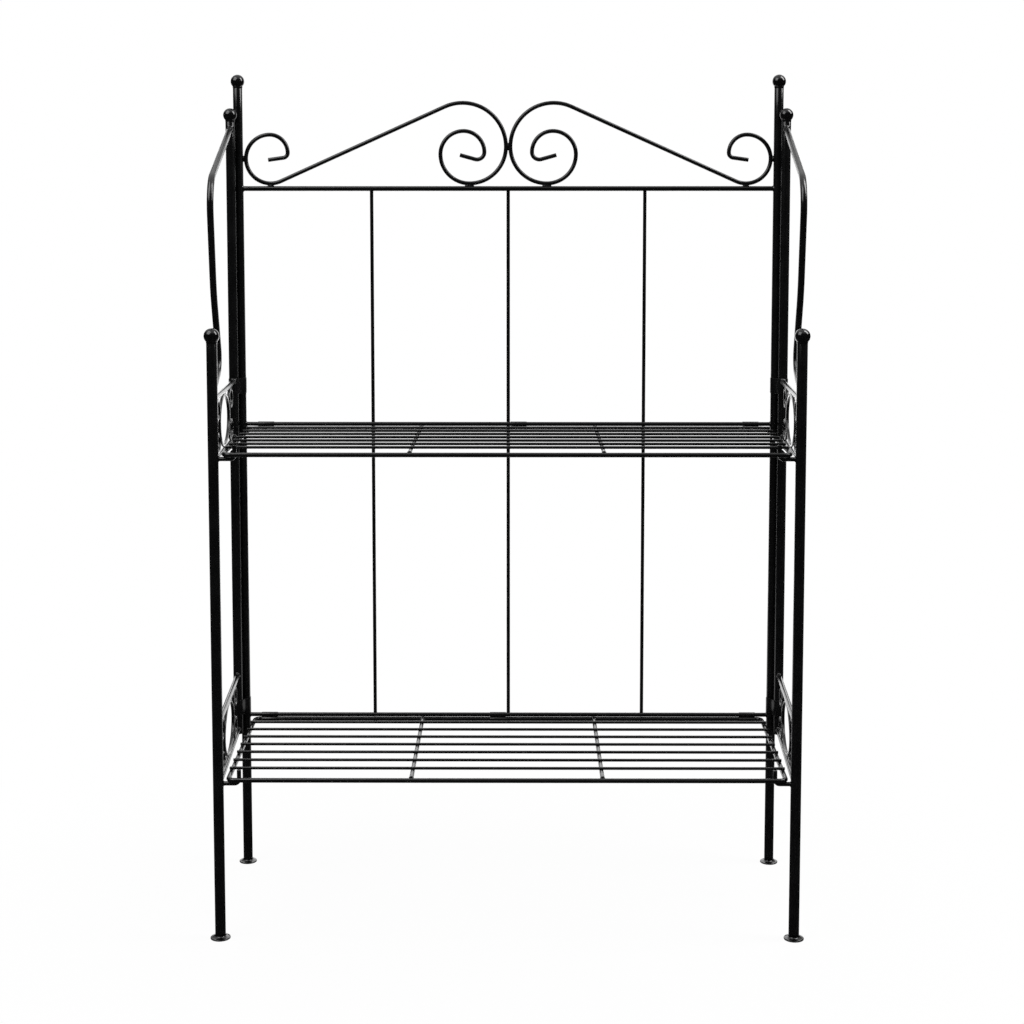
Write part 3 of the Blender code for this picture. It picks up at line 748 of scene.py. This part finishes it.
def arch_drawing(side):
    """Arch rail over the distance from the stile and the height: bends given back from the front post and
    up from the rail's foot."""
    _, _, length = side_run(side)
    high = node_box(f"{side}_rear_stile")[1][2] - ARCH_STILE_DROP
    foot = node_box(f"{side}_front_post")[1][2] - ARCH_POST_DROP
    corners = [(radius_of(f"{side}_rear_stile") + GAP, high, 0)]
    corners += [(length - back, foot + rise, radius) for back, rise, radius in ARCH_BENDS]
    corners.append((length - radius_of(f"{side}_front_post") - GAP, foot, 0))
    return bent(corners)


def guard_span(side, level):
    """Heights of a guard's upper and lower rail."""
    high = node_middle(f"{side}_{level}_top_guard")[2]
    low = node_middle(f"{side}_{level}_bottom_guard")[2]
    return high, low


def strap_sheet(side, level, z, sizes):
    """What the hinge strap adds to the stile's radius at a height: nothing above and below it."""
    low, high = node_box(f"{side}_{level}_hinge_strap")
    return SHEET_GAP + sizes.strap_t if low[2] < z < high[2] else 0.0


def scroll_start(sizes):
    """Distance from the oval's middle to the axis of a C scroll's back, which is sunk in the oval."""
    return OVAL_HALF + sizes.scroll_d - SCROLL_SINK


def scroll_drawing(way, start, reach):
    """C scroll: its back stands up beside the oval, its arms lie along the guard rails and curl in."""
    bend = arc((SCROLL_BACK_R, reach - SCROLL_BACK_R), SCROLL_BACK_R, 180, 90)
    arm = SCROLL_BACK_R + SCROLL_ARM
    end = arc((arm, reach - SCROLL_CURL_R), SCROLL_CURL_R, 90, 90 - SCROLL_CURL_TURN)
    upper = np.concatenate([bend, end])
    whole = np.concatenate([(upper * (1, -1))[::-1], upper])
    return np.array([start, 0.0]) + whole * (way, 1)


ShelfPlan = namedtuple("ShelfPlan", "rear_x front_x rear_y front_y height")


def shelf_plan(level, sizes):
    """Rear and front half widths, rear and front depth, and height of a shelf frame's rod axis."""
    low, high = node_box(f"{level}_shelf_frame")
    half = sizes.shelf_d / 2
    posts = ("right_back_post", "right_front_post")
    rear_x, front_x = (axis_of(post)[0] - radius_of(post) - SHELF_SIDE_GAP - half for post in posts)
    return ShelfPlan(rear_x, front_x, axis_of("left_back_post")[1], low[1] + half, (low[2] + high[2]) / 2)


def shelf_wire_rows(level, sizes):
    """Depth, half length and height of each wire: evenly spread between the frame's rear and front rod,
    and just short of the slanting side rods' outer faces."""
    plan = shelf_plan(level, sizes)
    height = node_box(f"{level}_shelf_wires")[1][2] - sizes.wire_d / 2
    run = plan.front_y - plan.rear_y
    rows = plan.rear_y + run * np.arange(1, SHELF_WIRES + 1) / (SHELF_WIRES + 1)
    axes = np.interp(rows, [plan.front_y, plan.rear_y], [plan.front_x, plan.rear_x])
    half = axes + sizes.shelf_d / 2 - WIRE_INSET
    return [(y, reach, height) for y, reach in zip(rows, half)]


def hook_height(level, sizes):
    """Height of a hook's lying arm, one gap under the shelf frame's rod."""
    return shelf_plan(level, sizes).height - sizes.shelf_d / 2 - GAP - sizes.hook_d / 2


# Welds of each body


def back_welds(sizes):
    """Fillets of the rails on the posts, nuggets of the wires on the rails, and the crest's beads."""
    welds = []
    for _, middle, diameter in rail_rods(sizes):
        for side, sign in SIDES:
            phase = sign + middle[2]
            post = f"{side}_back_post"
            welds.append(tee_weld(middle, sign * ACROSS, diameter, post, sizes.weld_leg, phase))
        for column in COLUMNS:
            x = node_middle(f"{column}_back_wire")[0]
            touch = (x, middle[1] + diameter / 2 + GAP / 2, middle[2])
            welds.append(bead(touch, UP, BACKWARD, *WIRE_NUGGET, x))
    base = crest_base(sizes)
    side_x, small_x, large_x = crest_lows(sizes)
    depth = axis_of("left_back_post")[1]
    lap = base - (sizes.crest_d + CREST_RAIL_GAP) / 2
    for sign in (-1, 1):
        for x, form in ((small_x, SMALL_CURL_BEAD), (large_x, LARGE_CURL_BEAD)):
            for face in (-1, 1):
                place = (-sign * x, depth + face * CREST_BEAD_OUT, lap)
                welds.append(bead(place, ACROSS, face * BACKWARD, *form, x + face))
        peg = (-sign * (side_x - (sizes.crest_d + CREST_POST_GAP) / 2), depth, base + SMALL_RADII[0])
        welds.append(bead(peg, UP, -BACKWARD, *CREST_POST_BEAD, sign))
    welds.append(bead((0.0, depth, base + CREST_LOW_R), UP, -BACKWARD, *CREST_MIDDLE_BEAD))
    return welds


def side_welds(side, sign, sizes):
    """Fillets of the arch, guards and hooks on the tubes, and beads of the scrollwork on the guards."""
    welds = []
    stile, way, length = side_run(side)
    middle = stile + way * length / 2
    post = f"{side}_front_post"
    tubes = [(f"{side}_rear_stile", -way), (post, way)]
    arch = stood(arch_drawing(side), stile, way)
    for (tube, _), tip, inner in zip(tubes, (arch[0], arch[-1]), (arch[1], arch[-2])):
        welds.append(tee_weld(inner, tip - inner, sizes.arch_d, tube, ARCH_LEG, tip[2]))
    arm = scroll_start(sizes) + SCROLL_BACK_R + SCROLL_ARM / 2
    for level in LEVELS:
        high, low = guard_span(side, level)
        for z, lift in ((high, -1), (low, 1)):
            for tube, run in tubes:
                sheet = 0.0 if tube == post else strap_sheet(side, level, z, sizes)
                phase = z * GUARD_PHASE + sign
                at = middle + z * UP
                welds.append(tee_weld(at, run, sizes.guard_d, tube, sizes.weld_leg, phase, sheet))
            edge = z + lift * (sizes.guard_d / 2 + GAP / 2)
            for shift, form in ((0.0, OVAL_BEAD), (arm, SCROLL_BEAD), (-arm, SCROLL_BEAD)):
                place = middle + way * shift + edge * UP
                welds.append(bead(place, way, UP, *form, shift * SCROLL_PHASE + z))
        hook = np.append(axis_of(post), hook_height(level, sizes)) - sign * HOOK_LEAD * ACROSS
        welds.append(tee_weld(hook, sign * ACROSS, sizes.hook_d, post, HOOK_LEG, hook[2] * HOOK_PHASE))
    return welds


def shelf_welds(level, sizes):
    """Nuggets where the wires cross the side rods and the cross bars, and beads at the bars' ends."""
    welds = []
    plan = shelf_plan(level, sizes)
    bar_top = node_box(f"{level}_shelf_wires")[0][2] + sizes.bar_d
    for y, half, height in shelf_wire_rows(level, sizes):
        under = height - sizes.wire_d / 2
        for sign in (-1, 1):
            place = (sign * (half - sizes.shelf_d / 2 + WIRE_INSET), y, under - GAP / 2)
            welds.append(bead(place, ACROSS, UP, *FRAME_NUGGET, y * FRAME_PHASE))
        for x in BAR_COLUMNS:
            place = (x, y, (under + bar_top) / 2)
            welds.append(bead(place, ACROSS, UP, *BAR_NUGGET, y * BAR_PHASE + x))
    for x in BAR_COLUMNS:
        for y, face in ((plan.front_y + sizes.shelf_d / 2, 1), (plan.rear_y - sizes.shelf_d / 2, -1)):
            place = (x, y, bar_top - sizes.bar_d / 2)
            welds.append(bead(place, UP, face * BACKWARD, *BAR_END_BEAD, x))
    return welds


# Operators


class STAND_OT_posts(bpy.types.Operator):
    """Make the back posts, front posts and stiles as open tubes with eased ends"""

    bl_idname = "stand.posts"
    bl_label = "Posts and stiles"

    def execute(self, context):
        sizes = context.scene.stand_sizes
        edge = sizes.ease * EASED_EDGE
        for node, body in uprights():
            low, high = node_box(node)
            outer = radius_of(node)
            bore = outer - sizes.tube_wall
            foot = np.array([outer, low[2]]) + edge[::-1]
            head = np.array([outer, high[2]]) + edge * (1, -1)
            run = spaced(np.array([foot[-1], head[0]]), TUBE_STEP)[1:-1]
            inner = np.array([[bore, high[2]], [bore, low[2]]])
            profile = np.concatenate([foot, run, head, inner])
            skin = turned(profile, axis_of(node), sizes.tube_sides, wrap=True)
            add_skin(context, node, [skin], body)
        return {"FINISHED"}


class STAND_OT_balls(bpy.types.Operator):
    """Make the balls on the tubes, each with the weld ring that it sits in"""

    bl_idname = "stand.balls"
    bl_label = "Balls"

    def execute(self, context):
        for tube, body in uprights():
            node = tube.replace("_post", "_ball").replace("rear_stile", "stile_ball")
            low, high = node_box(node)
            radius = min(high - low) / 2
            centre = high[2] - radius
            axis = axis_of(tube)
            ball = turned(arc((0, centre), radius, -BALL_POLE, BALL_POLE, BALL_STEP), axis, BALL_SIDES)
            rim = node_box(tube)[1][2]
            corner = np.array([radius_of(tube), rim])
            rest = math.asin((rim + RING_RISE - centre) / radius)
            upper = (radius * math.cos(rest) - RING_BITE, rim + RING_RISE)
            hang = swung(corner + RING_FOOT, corner + RING_PULL, upper)
            profile = np.concatenate([hang, corner + RING_INSIDE])
            ring = turned(profile, axis, RING_SIDES, wrap=True, wave=RING_WAVE)
            add_skin(context, node, [ball, ring], body, "ball_coat")
        return {"FINISHED"}


class STAND_OT_feet(bpy.types.Operator):
    """Make the round feet: a rim with eased edges and a low dome that rises to the tube"""

    bl_idname = "stand.feet"
    bl_label = "Feet"

    def execute(self, context):
        sides = context.scene.stand_sizes.tube_sides + FOOT_MORE_SIDES
        for side, _ in SIDES:
            for place, body in (("back", "back_frame"), ("front", f"{side}_side")):
                node = f"{side}_{place}_foot"
                post = f"{side}_{place}_post"
                rim = radius_of(node)
                face = np.array([radius_of(post), 0.0])
                edge = arc((rim - FOOT_EDGE_R, FOOT_EDGE_R), FOOT_EDGE_R, -90, 0, FOOT_CORNER_STEP)
                lip = arc((rim - FOOT_LIP_R, FOOT_LIP_Z), FOOT_LIP_R, 0, FOOT_LIP_TURN, FOOT_CORNER_STEP)
                dome = swung(lip[-1], *(face + FOOT_DOME))
                neck = swung(dome[-1], *(face + FOOT_NECK), FOOT_NECK_POINTS)
                profile = np.concatenate([edge, lip, dome[1:], neck[1:]])
                add_skin(context, node, [turned(profile, axis_of(post), sides)], body, "foot_coat")
        return {"FINISHED"}


class STAND_OT_back(bpy.types.Operator):
    """Make the back's rails and the upright wires behind them"""

    bl_idname = "stand.back"
    bl_label = "Back rails and wires"

    def execute(self, context):
        sizes = context.scene.stand_sizes
        reach = axis_of("right_back_post")[0] - radius_of("right_back_post") + SINK
        for node, middle, diameter in rail_rods(sizes):
            path = middle + np.outer([-reach, reach], ACROSS)
            add_skin(context, node, [rod(path, diameter, UP, sizes)], "back_frame")
        for column in COLUMNS:
            node = f"{column}_back_wire"
            low, high = node_box(node)
            x, y, _ = node_middle(node)
            path = np.array([[x, y, low[2]], [x, y, high[2] - WIRE_TRIM]])
            add_skin(context, node, [rod(path, sizes.back_wire_d, BACKWARD, sizes)], "back_frame")
        return {"FINISHED"}


class STAND_OT_crest(bpy.types.Operator):
    """Bend the two crest scrolls"""

    bl_idname = "stand.crest"
    bl_label = "Crest scrolls"

    def execute(self, context):
        sizes = context.scene.stand_sizes
        drawing = crest_drawing(sizes)
        depth = axis_of("left_back_post")[1] * BACKWARD
        for side, sign in SIDES:
            path = stood(drawing, depth, -sign * ACROSS)
            skin = rod(path, sizes.crest_d, BACKWARD, sizes)
            add_piece(context, f"{side}_crest_skin", [skin], "back_frame", nodes=[f"{side}_crest_scroll"])
        return {"FINISHED"}


class STAND_OT_arches(bpy.types.Operator):
    """Bend the arch rails from the stiles to the front posts"""

    bl_idname = "stand.arches"
    bl_label = "Arch rails"

    def execute(self, context):
        sizes = context.scene.stand_sizes
        for side, _ in SIDES:
            stile, way, _ = side_run(side)
            path = stood(stretched(arch_drawing(side), 2 * SINK), stile, way)
            skin = rod(path, sizes.arch_d, np.cross(way, UP), sizes, sides=ARCH_SIDES)
            add_piece(context, f"{side}_arch_skin", [skin], f"{side}_side", nodes=[f"{side}_arch_rail"])
        return {"FINISHED"}


class STAND_OT_guards(bpy.types.Operator):
    """Make the guard rails and the oval and C scrolls between them"""

    bl_idname = "stand.guards"
    bl_label = "Guards"

    def execute(self, context):
        sizes = context.scene.stand_sizes
        for side, _ in SIDES:
            body = f"{side}_side"
            stile, way, length = side_run(side)
            normal = np.cross(way, UP)
            end = length - radius_of(f"{side}_front_post") + SINK
            for level in LEVELS:
                high, low = guard_span(side, level)
                for label, z in (("top", high), ("bottom", low)):
                    start = radius_of(f"{side}_rear_stile") + strap_sheet(side, level, z, sizes) - SINK
                    path = stile + z * UP + np.outer([start, end], way)
                    skin = rod(path, sizes.guard_d, UP, sizes)
                    add_skin(context, f"{side}_{level}_{label}_guard", [skin], body)
                reach = (high - low - sizes.guard_d - sizes.scroll_d) / 2 - GAP
                middle = stile + (high + low) / 2 * UP + way * length / 2
                oval = arc((0, 0), 1.0, 0, 360)[:-1] * (OVAL_HALF, reach)
                skins = [rod(stood(oval, middle, way), sizes.scroll_d, normal, sizes, True)]
                for hand in (-1, 1):
                    path = stood(scroll_drawing(hand, hand * scroll_start(sizes), reach), middle, way)
                    skins.append(rod(path, sizes.scroll_d, normal, sizes))
                add_skin(context, f"{side}_{level}_guard_scrollwork", skins, body)
        return {"FINISHED"}


class STAND_OT_hooks(bpy.types.Operator):
    """Bend the J hooks that carry the shelves' front corners"""

    bl_idname = "stand.hooks"
    bl_label = "Shelf hooks"

    def execute(self, context):
        sizes = context.scene.stand_sizes
        for side, sign in SIDES:
            post = f"{side}_front_post"
            x, y = axis_of(post)
            for level in LEVELS:
                node = f"{side}_{level}_shelf_hook"
                low, high = node_box(node)
                inner = low[0] if sign > 0 else high[0]
                tip = abs(x - inner) - sizes.hook_d / 2
                corners = [(radius_of(post) - SINK, 0, 0), (tip, 0, HOOK_BEND_R), (tip, HOOK_TIP_RISE, 0)]
                path = stood(bent(corners), (x, y, hook_height(level, sizes)), -sign * ACROSS)
                add_skin(context, node, [rod(path, sizes.hook_d, BACKWARD, sizes)], f"{side}_side")
        return {"FINISHED"}


class STAND_OT_hinges(bpy.types.Operator):
    """Close the sheet straps round the posts and the sleeves round the rails"""

    bl_idname = "stand.hinges"
    bl_label = "Straps and sleeves"

    def execute(self, context):
        sizes = context.scene.stand_sizes
        for side, sign in SIDES:
            hinge = axis_of(f"{side}_back_post")
            stile = axis_of(f"{side}_rear_stile")
            length = np.linalg.norm(stile - hinge)
            way = np.append((stile - hinge) / length, 0.0)
            rise = -sign * np.cross(UP, way)
            radius = radius_of(f"{side}_back_post") + SHEET_GAP + sizes.strap_t / 2
            for level in LEVELS:
                node = f"{side}_{level}_hinge_strap"
                place = np.append(hinge, node_middle(node)[2])
                width = node_size(node)[2]
                skin = band(radius, sizes.strap_t, length, width, sizes.strap_pinch, place, way, rise)
                add_skin(context, node, [skin], f"{side}_side", "hinge_sheet")
        radius = max(sizes.back_rail_d, sizes.shelf_d) / 2 + SHEET_GAP + sizes.sleeve_t / 2
        for level in LEVELS:
            rail = node_middle(f"{level}_back_rail")
            drop = rail[2] - shelf_plan(level, sizes).height
            for column in COLUMNS:
                node = f"{level}_{column}_sleeve"
                place = np.array([node_middle(node)[0], rail[1], rail[2]])
                width = node_size(node)[0]
                skin = band(radius, sizes.sleeve_t, drop, width, sizes.sleeve_pinch, place, -UP, -BACKWARD)
                add_skin(context, node, [skin], f"{level}_shelf", "hinge_sheet")
        return {"FINISHED"}


class STAND_OT_shelves(bpy.types.Operator):
    """Bend the shelf frames and lay the wires and cross bars on them"""

    bl_idname = "stand.shelves"
    bl_label = "Shelves"

    def execute(self, context):
        sizes = context.scene.stand_sizes
        for level in LEVELS:
            body = f"{level}_shelf"
            plan = shelf_plan(level, sizes)
            corners = [(-plan.rear_x, plan.rear_y), (-plan.front_x, plan.front_y)]
            corners += [(plan.front_x, plan.front_y), (plan.rear_x, plan.rear_y)]
            loop = bent([(*corner, SHELF_CORNER_R) for corner in corners])
            path = stood(loop, plan.height * UP, ACROSS, BACKWARD)
            skin = rod(path, sizes.shelf_d, UP, sizes, closed=True)
            add_skin(context, f"{level}_shelf_frame", [skin], body)
            skins = []
            for y, half, height in shelf_wire_rows(level, sizes):
                path = np.array([[-half, y, height], [half, y, height]])
                skins.append(rod(path, sizes.wire_d, UP, sizes, sides=WIRE_SIDES))
            node = f"{level}_shelf_wires"
            bar_z = node_box(node)[0][2] + sizes.bar_d / 2
            reach = sizes.shelf_d / 2 - SINK
            for x in BAR_COLUMNS:
                path = np.array([[x, plan.front_y + reach, bar_z], [x, plan.rear_y - reach, bar_z]])
                skins.append(rod(path, sizes.bar_d, UP, sizes))
            add_skin(context, node, skins, body)
        return {"FINISHED"}


class STAND_OT_welds(bpy.types.Operator):
    """Lay the weld fillets and beads that join each body's rods and tubes"""

    bl_idname = "stand.welds"
    bl_label = "Welds"

    def execute(self, context):
        sizes = context.scene.stand_sizes
        add_piece(context, "back_frame_welds", back_welds(sizes), "back_frame")
        for side, sign in SIDES:
            add_piece(context, f"{side}_side_welds", side_welds(side, sign, sizes), f"{side}_side")
        for level in LEVELS:
            add_piece(context, f"{level}_shelf_welds", shelf_welds(level, sizes), f"{level}_shelf")
        return {"FINISHED"}


class STAND_OT_stage(bpy.types.Operator):
    """Lay the pale floor, hang two soft lamps and a back panel, set the room and place the camera"""

    bl_idname = "stand.stage"
    bl_label = "Studio"

    def execute(self, context):
        studio = context.scene.stand_studio
        context.scene.view_settings.view_transform = "Standard"
        lay_floor(context, studio)
        set_room(context, studio)
        hang_lamp(context, "back_panel", *BACK_PANEL, studio.back_power)
        hang_lamp(context, "left_lamp", *LEFT_LAMP, studio.left_power)
        hang_lamp(context, "right_lamp", *RIGHT_LAMP, studio.right_power)
        place_camera(context, studio)
        return {"FINISHED"}


# Studio


def rays(graph, *kinds):
    """One for rays of the named kinds, else zero."""
    path = graph.tree.nodes.new("ShaderNodeLightPath")
    total = 0.0
    for kind in kinds:
        total = total + Value(graph, path.outputs[f"Is {kind} Ray"])
    return graph.math("MINIMUM", total, 1.0)


def parts_of(graph, at):
    """How far a place or a way lies to the right, behind and above."""
    split = graph.tree.nodes.new("ShaderNodeSeparateXYZ")
    graph.tree.links.new(at.socket, split.inputs[0])
    return [Value(graph, socket) for socket in split.outputs]


def pale_floor(studio):
    """Pale floor: white to the camera by a share that is one but for a soft spot under the stand, and to
    the
    gloss a painted reflection: white before the back panel and dim elsewhere, at the room's dim level."""
    material = bpy.data.materials.new("pale_floor")
    material.use_nodes = True
    graph = Graph(material.node_tree)
    at = graph.node("ShaderNodeTexCoord", output="Object")
    away = graph.node("ShaderNodeVectorMath", {"operation": "LENGTH"}, {0: at}, "Value")
    white = graph.span(away, *SPOT_SPAN, SPOT_WHITE, 1.0)
    pale = [*studio.floor_colour, 1.0]
    darker = [c * FLECK_DARK for c in studio.floor_colour] + [1.0]
    fleck = graph.noise(at, FLECK_SIZE, 3.0)
    tint = graph.mix(graph.span(fleck, *FLECK_SPAN), darker, pale)
    matt = graph.node("ShaderNodeBsdfDiffuse", sockets={"Color": tint})
    right, back, _ = parts_of(graph, at)
    # painted reflection: to glossy rays the floor glows white towards the back and dim aside and in front,
    # not with its lit colour
    aside = graph.span(right * right, *PAINTED_REFLECTION_SIDE_SPAN)
    behind = graph.span(back, *PAINTED_REFLECTION_BACK_SPAN) * (1 - aside) * (1 - studio.dim_room) + studio.dim_room
    level = graph.mix(rays(graph, "Glossy") * (1 - behind), (1, 1, 1, 1), (0, 0, 0, 1))
    glow = graph.node("ShaderNodeEmission", sockets={"Color": level, "Strength": 1.0})
    share = rays(graph, "Camera", "Transmission") * white + rays(graph, "Glossy")
    both = graph.node("ShaderNodeMixShader", sockets={0: share, 1: matt, 2: glow})
    graph.node("ShaderNodeOutputMaterial", sockets={"Surface": both})
    return material


def lay_floor(context, studio):
    """Flat floor on an even grid of points, just under the feet."""
    across = np.linspace(-FLOOR_HALF, FLOOR_HALF, FLOOR_POINTS)
    x, y = np.meshgrid(across, across)
    points = np.stack([x, y, np.full_like(x, FLOOR_Z)], axis=-1).reshape(-1, 3)
    index = np.arange(FLOOR_POINTS**2).reshape(FLOOR_POINTS, FLOOR_POINTS)
    corners = [index[:-1, :-1], index[:-1, 1:], index[1:, 1:], index[1:, :-1]]
    mesh = bpy.data.meshes.new("floor")
    mesh.from_pydata(points.tolist(), [], np.stack(corners, axis=-1).reshape(-1, 4).tolist())
    mesh.materials.append(pale_floor(studio))
    floor = bpy.data.objects.new("floor", mesh)
    context.scene.collection.objects.link(floor)


def set_room(context, studio):
    """World: white to the camera, plain grey light, and to the gloss a dim room under a paler ceiling
    that comes down behind the stand."""
    world = bpy.data.worlds.new("studio_room")
    world.use_nodes = True
    context.scene.world = world
    graph = Graph(world.node_tree)
    _, back, above = parts_of(graph, graph.node("ShaderNodeTexCoord", output="Generated"))
    over = graph.span(above + back * CEILING_LEAN, *CEILING_SPAN, studio.dim_room, studio.ceiling)
    plain = (1 - rays(graph, "Camera", "Glossy", "Transmission")) * studio.room
    level = rays(graph, "Camera", "Transmission") + rays(graph, "Glossy") * over + plain
    light = graph.node("ShaderNodeBackground", sockets={"Color": (1, 1, 1, 1), "Strength": level})
    graph.node("ShaderNodeOutputWorld", sockets={"Surface": light})


def hang_lamp(context, name, place, size, power):
    """Soft lamp of a width and a height that faces the stand's middle."""
    lamp = bpy.data.lights.new(name, "AREA")
    lamp.shape = "RECTANGLE"
    lamp.size, lamp.size_y = size
    lamp.energy = power
    holder = bpy.data.objects.new(name, lamp)
    aim = unit(LAMP_AIM - np.array(place))
    right = unit(np.cross(aim, UP))
    turn = np.stack([right, np.cross(right, aim), -aim], axis=1)
    holder.matrix_world = Matrix.Translation(place) @ Matrix(turn.tolist()).to_4x4()
    holder.visible_camera = False
    context.scene.collection.objects.link(holder)


def place_camera(context, studio):
    """Camera from its place, yaw, pitch and roll: forward (sin y cos p, cos y cos p, -sin p)."""
    yaw, pitch, roll = studio.yaw, studio.pitch, studio.roll
    flat = math.cos(pitch)
    forward = np.array([math.sin(yaw) * flat, math.cos(yaw) * flat, -math.sin(pitch)])
    level = np.array([math.cos(yaw), -math.sin(yaw), 0.0])
    right = level * math.cos(roll) + np.cross(level, forward) * math.sin(roll)
    turn = np.stack([right, np.cross(right, forward), -forward], axis=1)
    view = bpy.data.cameras.new("photo_camera")
    view.sensor_width = SENSOR
    view.lens = studio.lens
    view.shift_y = studio.shift
    view.dof.use_dof = False
    camera = bpy.data.objects.new("photo_camera", view)
    camera.matrix_world = Matrix.Translation(studio.place) @ Matrix(turn.tolist()).to_4x4()
    context.scene.collection.objects.link(camera)
    context.scene.camera = camera


# Add-on


class STAND_PT_panel(bpy.types.Panel):
    """Sidebar panel with the stand's operators and settings"""

    bl_idname = "STAND_PT_panel"
    bl_label = "Folding plant stand"
    bl_space_type = "VIEW_3D"
    bl_region_type = "UI"
    bl_category = "Plant stand"

    def draw(self, context):
        for operator in OPERATORS:
            self.layout.operator(operator.bl_idname)
        for group in GROUPS:
            column = self.layout.column(align=True)
            settings = getattr(context.scene, group)
            for name in settings.__annotations__:
                column.prop(settings, name)


GROUPS = {"stand_sizes": StandSizes, "stand_finish": StandFinish, "stand_studio": StandStudio}
OPERATORS = (
    STAND_OT_posts,
    STAND_OT_balls,
    STAND_OT_feet,
    STAND_OT_back,
    STAND_OT_crest,
    STAND_OT_arches,
    STAND_OT_guards,
    STAND_OT_hooks,
    STAND_OT_hinges,
    STAND_OT_shelves,
    STAND_OT_welds,
    STAND_OT_stage,
)


def register():
    for name, group in GROUPS.items():
        bpy.utils.register_class(group)
        setattr(bpy.types.Scene, name, PointerProperty(type=group))
    for operator in (*OPERATORS, STAND_PT_panel):
        bpy.utils.register_class(operator)


def unregister():
    for operator in (STAND_PT_panel, *reversed(OPERATORS)):
        bpy.utils.unregister_class(operator)
    for name, group in GROUPS.items():
        delattr(bpy.types.Scene, name)
        bpy.utils.unregister_class(group)


def main():
    register()
    bpy.ops.stand.posts()
    bpy.ops.stand.balls()
    bpy.ops.stand.feet()
    bpy.ops.stand.back()
    bpy.ops.stand.crest()
    bpy.ops.stand.arches()
    bpy.ops.stand.guards()
    bpy.ops.stand.hooks()
    bpy.ops.stand.hinges()
    bpy.ops.stand.shelves()
    bpy.ops.stand.welds()
    bpy.ops.stand.stage()


if __name__ == "__main__":
    main()
